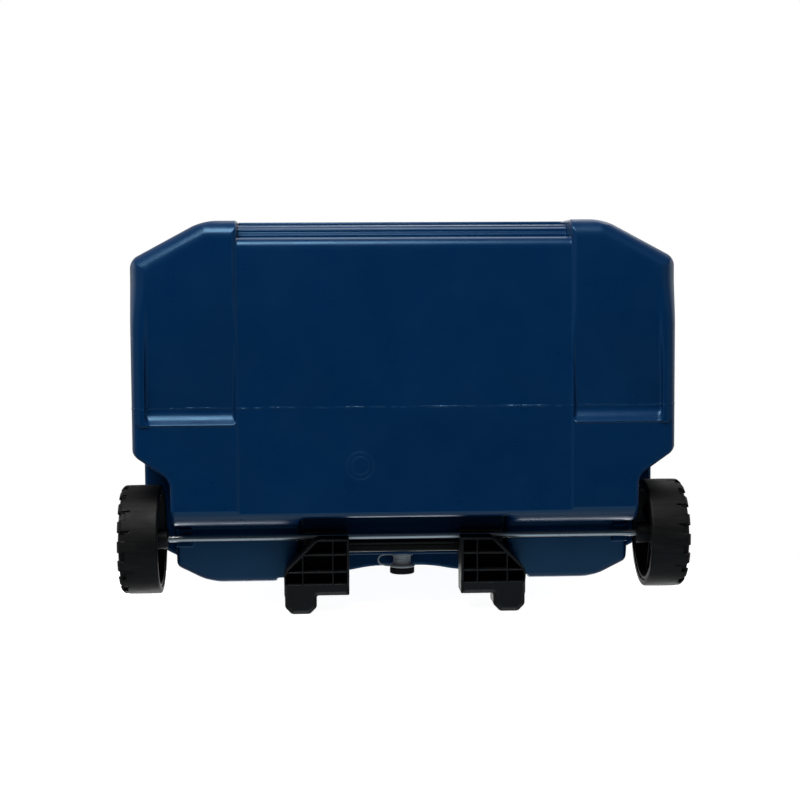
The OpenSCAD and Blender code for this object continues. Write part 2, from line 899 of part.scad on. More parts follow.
body_shell();
body_foam();
body_liner();
lid_shell();
lid_foam();
lid_liner();
left_hinge_base();
right_hinge_base();
left_hinge_leaf();
right_hinge_leaf();
left_hinge_pin();
right_hinge_pin();
hinge_base_screws();
hinge_leaf_screws();
left_side_handle();
right_side_handle();
left_handle_ears();
right_handle_ears();
ear_screws();
left_bracket();
right_bracket();
cross_bar();
bracket_screws();
tube_guide();
guide_screws();
left_outer_tube();
right_outer_tube();
left_middle_tube();
right_middle_tube();
middle_yoke();
left_inner_tube();
right_inner_tube();
handle_grip();
grip_button();
release_rods();
lock_plugs();
axle();
left_wheel();
right_wheel();
left_tyre();
right_tyre();
left_axle_cap();
right_axle_cap();
drain_spigot();
drain_gasket();
drain_nut();
drain_ring();
drain_cap();
drain_seal();
drain_tether();
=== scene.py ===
import json
import math

import bpy
import numpy as np
from mathutils import Matrix, Vector
from numpy import clip, hypot, maximum, minimum


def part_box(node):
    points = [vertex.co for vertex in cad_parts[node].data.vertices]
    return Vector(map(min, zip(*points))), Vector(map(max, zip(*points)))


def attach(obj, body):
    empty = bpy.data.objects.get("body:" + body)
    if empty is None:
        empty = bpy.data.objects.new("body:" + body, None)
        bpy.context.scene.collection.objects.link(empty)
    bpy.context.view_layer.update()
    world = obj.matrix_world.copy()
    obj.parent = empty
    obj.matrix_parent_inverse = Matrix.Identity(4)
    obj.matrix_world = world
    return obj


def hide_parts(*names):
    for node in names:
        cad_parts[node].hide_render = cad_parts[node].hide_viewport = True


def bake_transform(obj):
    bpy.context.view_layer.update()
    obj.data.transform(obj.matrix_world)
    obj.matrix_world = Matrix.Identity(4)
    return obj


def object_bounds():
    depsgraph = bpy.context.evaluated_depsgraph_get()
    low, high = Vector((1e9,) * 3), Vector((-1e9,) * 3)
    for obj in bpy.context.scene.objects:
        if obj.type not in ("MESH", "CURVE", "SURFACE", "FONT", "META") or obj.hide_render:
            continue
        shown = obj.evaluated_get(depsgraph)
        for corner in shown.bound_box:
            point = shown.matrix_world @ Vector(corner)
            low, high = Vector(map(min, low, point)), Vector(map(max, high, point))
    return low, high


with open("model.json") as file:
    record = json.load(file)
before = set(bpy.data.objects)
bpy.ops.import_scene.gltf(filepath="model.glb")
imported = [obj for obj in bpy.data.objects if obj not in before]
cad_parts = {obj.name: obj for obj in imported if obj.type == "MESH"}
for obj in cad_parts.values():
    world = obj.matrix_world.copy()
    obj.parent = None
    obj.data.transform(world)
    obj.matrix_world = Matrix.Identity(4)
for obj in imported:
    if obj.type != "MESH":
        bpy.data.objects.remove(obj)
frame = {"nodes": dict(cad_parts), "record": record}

cad_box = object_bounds()
MM = 0.001
DIAGONAL = 0.7071


def span(node):
    """Lowest and highest corner of a CAD node, in millimetres."""
    low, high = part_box(node)
    return np.array(low) / MM, np.array(high) / MM


def centre(node):
    low, high = span(node)
    return (low + high) / 2


# ---------- places taken from the frame ----------

AXLE_Y = 157.0
PLAN_Y = centre("axle")[1] - AXLE_Y
AXLE_Z = centre("axle")[2]

shell_low, shell_high = span("body_shell")
RIM_Z = shell_high[2]
SIDE_LEAN = 4.0
FRONT_LEAN = 5.0
END_LEAN = 10.0
BASE_X = shell_high[0] - SIDE_LEAN
BASE_Y = -(shell_low[1] - PLAN_Y) - FRONT_LEAN
CORNER_X = 82.0
CORNER_Y = 44.0
CORNER_NX = CORNER_Y / math.hypot(CORNER_X, CORNER_Y)
CORNER_NY = CORNER_X / math.hypot(CORNER_X, CORNER_Y)

lid_low, lid_high = span("lid_shell")
LID_Z = lid_low[2]
LID_TOP = lid_high[2]
LID_SIDE = lid_high[0]
LID_BACK = lid_high[1] - PLAN_Y
LID_FRONT = -(lid_low[1] - PLAN_Y)

tyre_low, tyre_high = span("right_tyre")
WHEEL_R = AXLE_Z
WHEEL_IN = tyre_low[0]
TREAD = tyre_high[0] - tyre_low[0] - 3.0
hub_low, hub_high = span("right_wheel")

TUBE_X = centre("right_outer_tube")[0]
TUBE_Y = centre("right_outer_tube")[1] - PLAN_Y
DRAIN_Z = centre("drain_ring")[2]


# ---------- signed-distance forms ----------

def cut_round(a, b, r):
    """What a and b share, with their common edge rounded."""
    return minimum(-r, maximum(a, b)) + hypot(maximum(a + r, 0), maximum(b + r, 0))


def join_round(a, b, r):
    """a and b together, with a fillet between them."""
    return -cut_round(-a, -b, r)


def carve(a, b, r):
    """a without b, with the edge of the cut rounded."""
    return cut_round(a, -b, r)


def ramp(v, a, b):
    """0 up to a and 1 from b on, smooth between them."""
    t = clip((v - a) / (b - a), 0, 1)
    return t * t * (3 - 2 * t)


def slab(v, low, high):
    return abs(v - (low + high) / 2) - (high - low) / 2


def brick(x, y, z, low, high, r):
    """Box with rounded edges."""
    q = [slab(v, a, b) + r for v, a, b in zip((x, y, z), low, high)]
    out = np.sqrt(sum(maximum(v, 0) ** 2 for v in q))
    return out + minimum(maximum(maximum(q[0], q[1]), q[2]), 0) - r


def drum(rho, t, radius, low, high, r):
    """Round bar of the given radius about an axis, with rounded rims. rho is the distance from the axis."""
    return cut_round(rho - radius, slab(t, low, high), r)


def octagon(x, y, half_x, front, back, inset, r):
    """Outline with cut corners, in plan. The corners are oblique, so they take less than r."""
    mid = (back + front) / 2
    half_y = (back - front) / 2
    ax = abs(x) - half_x + inset
    ay = abs(y - mid) - half_y + inset
    corner = CORNER_NX * (abs(x) - half_x) + CORNER_NY * (abs(y - mid) - half_y + CORNER_Y) + inset
    return cut_round(cut_round(ax, corner, 0.4 * r), ay, 0.35 * r)


def wobble(v, seed):
    """Smooth uneven line between -1 and 1, the same for the same seed."""
    rng = np.random.default_rng(seed)
    total = 0.0
    for length in (91.0, 43.0, 19.0, 8.0, 3.7):
        total = total + np.sin(v * (2 * math.pi / length) + rng.uniform(0, 6.28)) * rng.uniform(0.2, 0.45)
    return clip(total, -1, 1)


# ---------- from forms to meshes ----------

def lines(*spans):
    """Grid lines from spans of (start, stop, step)."""
    parts = [np.linspace(a, b, max(int(round((b - a) / s)), 1), endpoint=False) for a, b, s in spans]
    return np.concatenate(parts + [[spans[-1][1]]])


def mirror_lines(*spans):
    """The same lines on both sides of 0, from spans that start at 0."""
    half = lines(*spans)
    return np.concatenate([-half[:0:-1], half])


def slope(form, p, e=0.12):
    """Gradient of the form at each point, from differences over e to both sides."""
    grad = np.empty_like(p)
    for k in range(3):
        step = np.zeros(3)
        step[k] = e
        a, b = p + step, p - step
        grad[:, k] = (form(a[:, 0], a[:, 1], a[:, 2]) - form(b[:, 0], b[:, 1], b[:, 2])) / (2 * e)
    return grad


def skin(form, xs, ys, zs):
    """Vertices, quads and normals of the surface where form is zero, one vertex to a grid cell."""
    grid = np.meshgrid(xs, ys, zs, indexing="ij", sparse=True)
    v = np.broadcast_to(form(*grid), (len(xs), len(ys), len(zs))).astype(np.float32)
    inside = v < 0
    n = [len(xs) - 1, len(ys) - 1, len(zs) - 1]
    corners = [(i, j, k) for i in (0, 1) for j in (0, 1) for k in (0, 1)]

    def corner(a, c):
        return a[c[0]:c[0] + n[0], c[1]:c[1] + n[1], c[2]:c[2] + n[2]]

    count = sum(corner(inside, c).astype(np.int8) for c in corners)
    cells = np.argwhere((count > 0) & (count < 8))
    index = np.full(n, -1, np.int64)
    index[cells[:, 0], cells[:, 1], cells[:, 2]] = np.arange(len(cells))
    axes = (xs, ys, zs)
    low = np.stack([axes[k][cells[:, k]] for k in range(3)], 1)
    size = np.stack([axes[k][cells[:, k] + 1] for k in range(3)], 1) - low
    values = {c: v[cells[:, 0] + c[0], cells[:, 1] + c[1], cells[:, 2] + c[2]] for c in corners}
    total = np.zeros((len(cells), 3))
    hits = np.zeros(len(cells))
    for c in corners:
        for k in range(3):
            if c[k]:
                continue
            a, b = values[c], values[tuple(1 if m == k else c[m] for m in range(3))]
            crossing = (a < 0) != (b < 0)
            point = np.tile(np.array(c, float), (len(cells), 1))
            point[:, k] = np.where(crossing, a / np.where(crossing, a - b, 1), 0)
            total += point * crossing[:, None]
            hits += crossing
    p = low + size * total / hits[:, None]
    for _ in range(3):
        grad = slope(form, p)
        length2 = maximum((grad ** 2).sum(1), 0.05)
        move = form(p[:, 0], p[:, 1], p[:, 2])[:, None] * grad / length2[:, None]
        p = clip(p - clip(move, -size / 2, size / 2), low - size / 4, low + size * 1.25)
    normal = slope(form, p, 0.2)
    normal /= maximum(np.linalg.norm(normal, axis=1), 1e-9)[:, None]
    quads = []
    for k in range(3):
        u, w = (k + 1) % 3, (k + 2) % 3
        first = [slice(1, n[m]) for m in range(3)]
        first[k] = slice(0, n[k])
        after = list(first)
        after[k] = slice(1, n[k] + 1)
        a, b = inside[tuple(first)], inside[tuple(after)]
        for flip, mask in ((False, a & ~b), (True, b & ~a)):
            at = np.argwhere(mask)
            if not len(at):
                continue
            at[:, u] += 1
            at[:, w] += 1
            ring = []
            for du, dw in ((1, 1), (0, 1), (0, 0), (1, 0)):
                cell = at.copy()
                cell[:, u] -= du
                cell[:, w] -= dw
                ring.append(index[cell[:, 0], cell[:, 1], cell[:, 2]])
            ring = np.stack(ring, 1)
            quads.append(ring[:, ::-1] if flip else ring)
    return p, np.concatenate(quads), normal


def put(name, data):
    """New object of the data, linked to the scene."""
    thing = bpy.data.objects.new(name, data)
    bpy.context.scene.collection.objects.link(thing)
    return thing


def make(name, p, quads, normal):
    """Mesh object from a skin, in the row frame in metres, shaded by the form's own normals."""
    p = (p + np.array([0, PLAN_Y, 0])) * MM
    mesh = bpy.data.meshes.new(f"{name}_skin")
    mesh.from_pydata(p.tolist(), [], quads.tolist())
    mesh.validate()
    mesh.shade_smooth()
    if len(mesh.vertices) == len(normal):
        mesh.normals_split_custom_set_from_vertices(normal.astype(np.float32).tolist())
    return put(f"{name}_skin", mesh)


def without(skinned, hidden):
    """The same skin without the faces that lie inside the hidden form."""
    p, quads, normal = skinned
    covered = hidden(p[:, 0], p[:, 1], p[:, 2]) < 0
    quads = quads[~covered[quads].all(1)]
    used = np.unique(quads)
    index = np.full(len(p), -1)
    index[used] = np.arange(len(used))
    return p[used], index[quads], normal[used]


# ---------- materials ----------

def shader(name, colour, rough, **sockets):
    """New material with its uniform values on the Principled shader, and its nodes at hand."""
    material = bpy.data.materials.new(name)
    material.use_nodes = True
    n = Nodes(material.node_tree)
    values = {"Base Color": (*colour, 1), "Roughness": rough}
    values.update((key.replace("_", " "), value) for key, value in sockets.items())
    for key, value in values.items():
        n.surface.inputs[key].default_value = value
    return material, n


class Nodes:
    """Short calls for the nodes that the materials share."""

    def __init__(self, tree):
        self.tree = tree
        self.surface = tree.nodes.get("Principled BSDF")
        self.place = self.add("ShaderNodeTexCoord").outputs["Object"]

    def add(self, kind, values=None, **settings):
        """New node. Values that are another node's output are linked to the input, others are set on it."""
        node = self.tree.nodes.new(kind)
        for key, value in settings.items():
            setattr(node, key, value)
        for key, value in (values or {}).items():
            if isinstance(value, bpy.types.NodeSocket):
                self.link(value, node.inputs[key])
            else:
                node.inputs[key].default_value = value
        return node

    def link(self, a, b):
        self.tree.links.new(a, b)

    def drive(self, key, value):
        """Let a node's output set an input of the Principled shader."""
        self.link(value, self.surface.inputs[key])

    def vector(self, how, a, b):
        return self.add("ShaderNodeVectorMath", {0: a, 1: b}, operation=how).outputs

    def stretched(self, scale):
        return self.add("ShaderNodeMapping", {"Vector": self.place, "Scale": scale}).outputs["Vector"]

    def noise(self, scale, detail=3.0, rough=0.55, where=None, distortion=0.0):
        values = {"Vector": where or self.place, "Scale": scale, "Detail": detail, "Roughness": rough}
        values["Distortion"] = distortion
        return self.add("ShaderNodeTexNoise", values).outputs["Fac"]

    def scaled(self, value, low, high, out_low, out_high):
        values = {"Value": value, "From Min": low, "From Max": high, "To Min": out_low, "To Max": out_high}
        return self.add("ShaderNodeMapRange", values).outputs["Result"]

    def blend(self, factor, a, b):
        a, b = ((*v, 1) if isinstance(v, tuple) else v for v in (a, b))
        return self.add("ShaderNodeMix", {"Factor": factor, 6: a, 7: b}, data_type="RGBA").outputs[2]

    def math(self, how, a, b):
        return self.add("ShaderNodeMath", {0: a, 1: b}, operation=how).outputs[0]

    def bump(self, height, distance, after=None):
        values = {"Height": height, "Distance": distance, "Strength": 1.0}
        if after:
            values["Normal"] = after
        return self.add("ShaderNodeBump", values).outputs["Normal"]

    def edges(self):
        """0 in hollows, about half on flats and 1 on edges."""
        return self.add("ShaderNodeNewGeometry").outputs["Pointiness"]


def plastic(name, colour, rough, peel, depth, worn, vary, scuffs=True, relief=None, **sockets):
    """Moulded plastic: cloudy colour, uneven gloss, a fine grain of scale peel, scuffs and paler worn edges."""
    material, n = shader(name, colour, rough, **sockets)
    darker = tuple(c * (1 - vary) for c in colour)
    lighter = tuple(c * (1 + vary) for c in colour)
    cloud = n.scaled(n.noise(7.0, 4.0), 0.3, 0.7, 0, 1)
    base = n.blend(cloud, darker, lighter)
    if worn:
        sharp = n.scaled(n.edges(), 0.52, 0.62, 0, 0.5)
        patchy = n.scaled(n.noise(45.0), 0.42, 0.62, 0, 1)
        base = n.blend(n.math("MULTIPLY", sharp, patchy), base, worn)
    n.drive("Base Color", base)
    gloss = n.scaled(n.noise(18.0, 5.0, 0.6), 0.3, 0.7, rough - 0.05, rough + 0.07)
    if scuffs:
        streak = n.scaled(n.noise(9.0, 8.0, 0.7, n.stretched((1.0, 14.0, 3.0)), 0.6), 0.45, 0.85, 0, 0.03)
        gloss = n.math("ADD", gloss, streak)
    n.drive("Roughness", gloss)
    mark = n.bump(relief(n), 2.5e-4) if relief else None
    grain = n.bump(n.noise(peel * 10, 2.0), depth, mark)
    n.drive("Normal", n.bump(n.noise(peel, 3.0), depth * 4, grain))
    return material


def metal(name, colour, rough, along):
    """Drawn metal: fine lines along its length, uneven gloss and small dark spots."""
    material, n = shader(name, colour, rough, Metallic=1.0)
    stretch = [12.0 if axis == along else 900.0 for axis in range(3)]
    drawn = n.noise(1.0, 3.0, 0.6, n.stretched(stretch))
    spots = n.scaled(n.noise(55.0, 6.0, 0.7), 0.60, 0.72, 0, 0.7)
    n.drive("Base Color", n.blend(spots, colour, tuple(c * 0.45 for c in colour)))
    gloss = n.scaled(drawn, 0.3, 0.7, rough - 0.05, rough + 0.08)
    n.drive("Roughness", n.math("ADD", gloss, n.scaled(spots, 0, 1, 0, 0.2)))
    n.drive("Normal", n.bump(drawn, 5e-6))
    return material


def dial(n):
    """Two low rings, as a mould leaves where its date insert sits."""
    flat = n.vector("MULTIPLY", n.place, (1, 1, 0))["Vector"]
    away = n.vector("DISTANCE", flat, (-0.052, (67 + PLAN_Y) * MM, 0))["Value"]
    offs = [n.math("ABSOLUTE", n.math("SUBTRACT", away, radius), 0.0) for radius in (0.0155, 0.0100)]
    return n.math("ADD", *(n.scaled(off, 0.0003, 0.0011, 1, 0) for off in offs))


def tread_material():
    """Hard tread: short lines across it and round it, scuffed paler where it runs."""
    material, n = shader("tread", (0.02, 0.02, 0.02), 0.55, Specular_IOR_Level=0.16)
    across = n.noise(1.0, 5.0, 0.65, n.stretched((30.0, 260.0, 260.0)))
    patches = n.noise(26.0, 5.0, 0.6)
    scuff = n.math("MULTIPLY", n.scaled(across, 0.42, 0.66, 0, 1), n.scaled(patches, 0.35, 0.65, 0.25, 1))
    n.drive("Base Color", n.blend(scuff, (0.0022, 0.0022, 0.0023), (0.010, 0.010, 0.0098)))
    n.drive("Roughness", n.scaled(patches, 0.3, 0.7, 0.46, 0.64))
    n.drive("Normal", n.bump(patches, 1.5e-4, n.bump(across, 1.2e-4)))
    return material


wheel_black = plastic("wheel_plastic", (0.0075, 0.0075, 0.008), 0.50, 90.0, 2e-5, (0.025, 0.025, 0.025), 0.15,
                      Specular_IOR_Level=0.3)
screw_steel = metal("screw_steel", (0.55, 0.56, 0.58), 0.28, 1)
bar_black = metal("bar_steel", (0.030, 0.029, 0.027), 0.38, 0)
looks = {
    "navy_shell": plastic("navy_polyethylene", (0.0001, 0.0205, 0.0770), 0.30, 55.0, 1.6e-5, (0.003, 0.050, 0.13),
                          0.08, relief=dial, Specular_Tint=(0.34, 0.68, 1.0, 1.0)),
    "white_lid": plastic("white_polyethylene", (0.62, 0.63, 0.62), 0.34, 55.0, 1.4e-5, (0.70, 0.70, 0.69), 0.012,
                         False),
    "white_liner": plastic("white_liner", (0.74, 0.75, 0.74), 0.26, 70.0, 1e-5, None, 0.01, False),
    "insulation": plastic("polyurethane_foam", (0.75, 0.62, 0.33), 0.9, 300.0, 2e-4, None, 0.10, False),
    "black_plastic": plastic("black_polypropylene", (0.0036, 0.0041, 0.0048), 0.42, 90.0, 2e-5,
                             (0.02, 0.021, 0.022), 0.15, Specular_IOR_Level=0.3),
    "grey_plastic": plastic("grey_plastic", (0.46, 0.46, 0.47), 0.36, 90.0, 1e-5, (0.5, 0.5, 0.5), 0.05),
    # Light grey: the drain ring's own colour. On the strap it is partly a painted highlight: the lit edge of a
    # dark rubber strap, painted into its colour.
    "strap": plastic("tether_grey_partly_painted_highlight", (0.55, 0.55, 0.55), 0.42, 120.0, 1e-5, None, 0.06),
    "seal_rubber": plastic("rubber", (0.008, 0.008, 0.009), 0.62, 140.0, 2e-5, None, 0.12),
    "tread": tread_material(),
    "steel": metal("axle_steel", (0.36, 0.37, 0.39), 0.30, 0),
    "black_tube": metal("black_tube", (0.012, 0.012, 0.013), 0.34, 2),
    "handle_tube": metal("bright_tube", (0.62, 0.63, 0.65), 0.27, 2)
}


def finish_piece(piece, body, slot, nodes, material):
    """Material, replaced nodes, body and slot of a piece. Without a material it gets its slot's own."""
    piece.data.materials.clear()
    piece.data.materials.append(material or looks[slot])
    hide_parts(*nodes)
    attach(piece, body)


def mould(name, form, grid, body, slot, nodes=None, hidden=None, material=None):
    """One piece from a form. It stands for the CAD node of its own name, unless other nodes are given.

    Faces inside the hidden form, which another piece covers, are left out.
    """
    skinned = skin(form, *grid)
    if hidden:
        skinned = without(skinned, hidden)
    finish_piece(make(name, *skinned), body, slot, [name] if nodes is None else nodes, material)


def mould_pair(name, form, grid, body, slot="black_plastic", material=None):
    """Right piece from a form, and its mirror image on the left. {} in the body's name is the side."""
    p, quads, normal = skin(form, *grid)
    flip = np.array([-1.0, 1.0, 1.0])
    mirrored = (p * flip, quads[:, ::-1], normal * flip)
    for side, skinned in (("right", (p, quads, normal)), ("left", mirrored)):
        node = f"{side}_{name}"
        finish_piece(make(node, *skinned), body.format(side), slot, [node], material)


# ---------- body ----------

PANEL_X = 190.0
PANEL_DEPTH = 4.0
PANEL_WALL_Y = -191.5
GRIP_SIDE = 297.0
POCKET_X = 122.0
WALL_Y = 183.0
BAY_X = 150.0
BAY_DEPTH = 4.5
HEEL_Y = 137.0
TUNNEL_Z = 72.0
WELL_X = 268.0
WELL_TOP = 145.0


def lean(z):
    """How far the back stands behind the base's outline at height z."""
    return END_LEAN * (1 + z / RIM_Z) / 2


def body_outside(x, y, z):
    front = -BASE_Y - 3.4 - (FRONT_LEAN - 2) * z / RIM_Z
    return octagon(x, y, BASE_X + SIDE_LEAN * z / RIM_Z, front, BASE_Y + lean(z), 0.0, 20.0)


def front_centre(y, z):
    """The solid between the pads: the panel's floor, the front wall set back over it and the stepped brow."""
    brow = 44 + 4 * ramp(-y, 195.6, 199.0) + 6 * ramp(-y, 201.5, 205.0) + 40 * ramp(-y, 205.5, 209.0)
    low = cut_round(PANEL_DEPTH - z, PANEL_WALL_Y - y, 11.0)
    return join_round(low, (brow - z) * 0.6, 1.5)


def grip_void(ax, y, z):
    """Room for the fingers in each pad: a long slope up to a steep step."""
    rise = clip((y + 150) / 158, 0, 1)
    depth = 11 * rise * rise * (1.6 - 0.6 * rise)
    floor = (z - depth) * 0.99
    step = (y - 20 + z) * 0.72
    end = (ax - GRIP_SIDE + 0.35 * (10 - z)) * 0.94
    inner = (PANEL_X + 6 + 0.5 * (z - 11) - ax) * 0.89
    hollow = cut_round(floor, step, 5.0)
    return cut_round(cut_round(hollow, end, 6.0), inner, 2.0)


def undercut(y, z):
    """Solid ahead of the heel and over the tunnel behind it."""
    heel = cut_round(y - HEEL_Y - (z - 30) * 0.05, -z, 30.0)
    ceiling = TUNNEL_Z + 17 * clip((y - 139) / 89, 0, 1) ** 1.6
    return join_round(heel, (ceiling - z) * 0.97, 9.0)


def drain_pocket(ax, y, z):
    side = (ax - POCKET_X - 25 * clip((y - 165) / 75, 0, 1)) * 0.95
    plan = cut_round(side, 128 - y, 7.0)
    tall = maximum(z - 125, WALL_Y - y)
    return cut_round(plan, minimum(z - 84, tall), 4.0)


def wheel_well(ax, y, z):
    slant = -(0.577 * (ax - WELL_X) + 0.817 * (y - 82))
    return cut_round(cut_round(WELL_X - ax, slant, 7.0), z - WELL_TOP, 10.0)


def flash(x, y):
    """Height of the parting line's ragged flash."""
    ragged = 0.38 + 0.34 * wobble(x, 5)
    return ragged * clip(1 - abs(y - 0.5 * wobble(x, 8)) / 1.1, 0, 1)


def body(x, y, z):
    ax = abs(x)
    wall = body_outside(x, y, z)
    edge = 13 + 9 * ramp(-y, 90, 150)
    out = cut_round(wall, -z, edge)
    relief = maximum(maximum(20 - y, z - 2.5), PANEL_X - ax)
    out = carve(out, relief, 1.0)
    side = (ax - PANEL_X - 1.25 * (PANEL_DEPTH - minimum(z, PANEL_DEPTH))) * 0.8
    out = carve(out, cut_round(-front_centre(y, z), side, 1.2), 1.2)
    out = carve(out, grip_void(ax, y, z), 2.0)
    out = cut_round(out, undercut(y, z), 0.2 + 7 * ramp(z, 30, 60))
    out = carve(out, wheel_well(ax, y, z), 4.0)
    out = carve(out, drain_pocket(ax, y, z), 4.0)
    saddle = brick(ax, y, z, (249, 146, 67.6), (269, 168, 80), 1.5)
    out = join_round(out, saddle, 2.0)
    wall_y = BASE_Y - BAY_DEPTH + lean(z)
    bay = cut_round(ax - BAY_X, wall_y - y, 2.5)
    channel = cut_round((ax - 65 + (wall_y - y) * 3.6) * 0.27, wall_y - 6 - y, 5.0)
    out = carve(out, bay, 2.5)
    out = carve(out, channel, 4.0)
    out = carve(out, hypot(x, z - DRAIN_Z) - 9.2 + maximum(150 - y, 0), 0.3)
    out = cut_round(out, z - RIM_Z, 1.2)
    out = maximum(out, -(liner_outside(x, y, z) - 0.5))
    out = maximum(out, -maximum(RIM_Z - 4.2 - z, wall + 3))
    return out - flash(x, y)


LINER_Z = 90.0


def liner_outside(x, y, z):
    s = (z - LINER_Z) / (RIM_Z - LINER_Z)
    tub = octagon(x, y, 258 + 18 * s, -184 - 9 * s, 173.4 + 8.6 * s, 0.0, 24.0)
    return cut_round(tub, LINER_Z - z, 16.0)


def body_liner(x, y, z):
    """White tub with its flange and soft inner corners, and a hole for the drain."""
    tub = maximum(liner_outside(x, y, z) - 9, z - RIM_Z + 0.8)
    flange = maximum(body_outside(x, y, z) + 3.2, slab(z, RIM_Z - 4, RIM_Z - 0.8))
    out = minimum(tub, flange)
    s = (z - LINER_Z) / (RIM_Z - LINER_Z)
    inner = octagon(x, y, 255.5 + 18 * s, -181.5 - 9 * s, 170.9 + 8.6 * s, 0.0, 24.0)
    inner = cut_round(inner, LINER_Z + 2.5 - z, 15.0)
    out = carve(out, inner, 2.4)
    return maximum(out, -(hypot(x, z - DRAIN_Z) - 7 + maximum(150 - y, 0)))


body_x = mirror_lines(
    (0, 40, 6), (40, 68, 3.5), (68, 118, 6), (118, 154, 3.6), (154, 184, 6), (184, 200, 1.0), (200, 246, 6),
    (246, 272, 2.6), (272, 290, 3.6), (290, 316, 1.6)
)
body_y = lines(
    (-221, -184, 1.5), (-184, -150, 5), (-150, -3, 7), (-3, 3, 0.6), (3, 28, 1.9), (28, 80, 5.5),
    (80, 102, 5), (102, 142, 1.9), (142, 180, 3), (180, 221, 2.1)
)
body_z = lines(
    (-1.5, 18, 1.2), (18, 60, 2.8), (60, 96, 2.1), (96, 152, 4), (152, 380, 19), (380, 391.5, 1.15)
)


def under_liner(x, y, z):
    """Where the tub hides the body's cavity."""
    return maximum(liner_outside(x, y, z) - 2, z - RIM_Z + 6)


mould("body", body, (body_x, body_y, body_z), "body", "navy_shell", ["body_shell", "body_foam"], under_liner)


# ---------- lid ----------

LID_DROP = 7.0
CUP_X = 215.0
CUP_YS = (-95.0, 50.0)


def lid(x, y, z):
    """White lid: leaning sides, a broad soft shoulder, a low crown, cup holders and a scoop for the fingers."""
    h = z - LID_Z
    ax = abs(x)
    side = octagon(x, y, LID_SIDE, -LID_FRONT, LID_BACK, 0.062 * h, 26.0)
    crown = h - (LID_TOP - LID_Z) + LID_DROP * (0.5 * (x / LID_SIDE) ** 2 + 0.5 * (y / LID_FRONT) ** 2)
    out = cut_round(side, crown * 0.98, 24.0)
    out = cut_round(out, -h, 1.6)
    groove = hypot(side + 0.6, h - 15) - 1.5
    out = carve(out, groove, 0.6)
    field = maximum(octagon(x, y, 152, -140, 118, 0.0, 16.0), -crown - 2.4)
    out = carve(out, field, 1.6)
    for cup_y in CUP_YS:
        rho = hypot(ax - CUP_X, y - cup_y)
        rim = cut_round(rho - 47.5, LID_TOP - 8.0 - z, 2.0)
        out = carve(out, rim, 2.4)
        cup = cut_round(rho - 41.6 + (LID_TOP - z) * 0.05, LID_TOP - 25.6 - z, 7.0)
        out = carve(out, cup, 2.6)
    notch = cut_round(ax - BAY_X, LID_BACK - 5.9 - y, 4.0)
    out = carve(out, notch, 3.0)
    scoop = cut_round(cut_round(ax - 70, 9 - LID_FRONT - y, 6.0), h - 12, 6.0)
    out = carve(out, maximum(scoop, y + LID_FRONT - 40), 2.0)
    hollow = maximum(side + 3.2, h - 3.2)
    return maximum(out, -hollow)


def lid_liner(x, y, z):
    """Plate inside the lid's edge and the plug that drops into the tub, with a groove between them."""
    h = z - LID_Z
    plate = cut_round(octagon(x, y, LID_SIDE, -LID_FRONT, LID_BACK, 3.5, 26.0), slab(h, 0, 3.0), 1.0)
    plate = carve(plate, maximum(abs(x) - BAY_X - 3.4, LID_BACK - 9.4 - y), 1.0)
    plate = carve(plate, maximum(abs(x) - 73.4, y + LID_FRONT - 12.4), 1.0)
    drop = 16.0
    plug = octagon(x, y, 262, -184, 172, 1.2 + 0.12 * (3 - h), 24.0)
    plug = cut_round(plug, slab(h, -drop, 1.5), 5.0)
    out = join_round(plate, plug, 3.0)
    bead = hypot(octagon(x, y, 290, -205, 196, 0.0, 24.0), h) - 2.0
    out = carve(out, bead, 0.6)
    pan = octagon(x, y, 236, -158, 146, 0.0, 24.0)
    return carve(out, cut_round(pan, h + drop - 6, 4.0), 2.5)


lid_x = mirror_lines(
    (0, 60, 7), (60, 82, 2.6), (82, 140, 6), (140, 158, 1.8), (158, 168, 3.3), (168, 234, 2.6), (234, 324, 1.7)
)
lid_y = lines(
    (-223, -172, 1.7), (-172, -146, 4.4), (-146, -42, 2.7), (-42, 0, 6), (0, 124, 2.7), (124, 170, 6),
    (170, 221, 1.7)
)
lid_z = lines((388.5, 396, 0.9), (396, 402, 2), (402, 408.6, 0.95), (408.6, 438, 3), (438, 464, 1.2))


def over_liner(x, y, z):
    """Where the liner's plate hides the lid's inside."""
    return maximum(octagon(x, y, LID_SIDE, -LID_FRONT, LID_BACK, 5.5, 26.0), z - LID_Z - 3.6)


mould("lid", lid, (lid_x, lid_y, lid_z), "lid", "white_lid", ["lid_shell", "lid_foam"], over_liner)
plug_x = mirror_lines(
    (0, 66, 7), (66, 80, 1.6), (80, 146, 6), (146, 160, 1.6), (160, 230, 6), (230, 266, 2), (266, 320, 2.2)
)
plug_y = lines((-220, -198, 1.7), (-198, -150, 2.4), (-150, 140, 7), (140, 176, 2), (176, 220, 1.8))
mould("lid_liner", lid_liner, (plug_x, plug_y, lines((372.5, 395, 0.8))), "lid", "white_liner")


def behind_tub(x, y, z):
    """Where the body hides the tub's outside."""
    return maximum(1 - liner_outside(x, y, z), z - RIM_Z + 5)


tub_x = mirror_lines((0, 14, 2.5), (14, 160, 7), (160, 226, 4), (226, 312, 1.8))
tub_y = lines((-216, -150, 1.8), (-150, 140, 7), (140, 218, 1.8))
tub_z = lines((88.5, 108, 1.2), (108, 122, 2), (122, 372, 16), (372, 390, 0.8))
mould("tub", body_liner, (tub_x, tub_y, tub_z), "body", "white_liner", ["body_liner"], behind_tub)


# ---------- wheels ----------

LUGS = 16
TREAD_DEPTH = 7.5


def about_axle(y, z):
    """Distance from the axle's line, and the angle about it."""
    y, z = y - AXLE_Y, z - AXLE_Z
    return hypot(y, z), np.arctan2(y, z)


def along_arc(angle, count, radius, shift=0.0):
    """Distance along the arc from the nearest of so many even marks."""
    turn = 2 * math.pi / count
    return (np.mod(angle / turn + shift, 1.0) - 0.5) * turn * radius


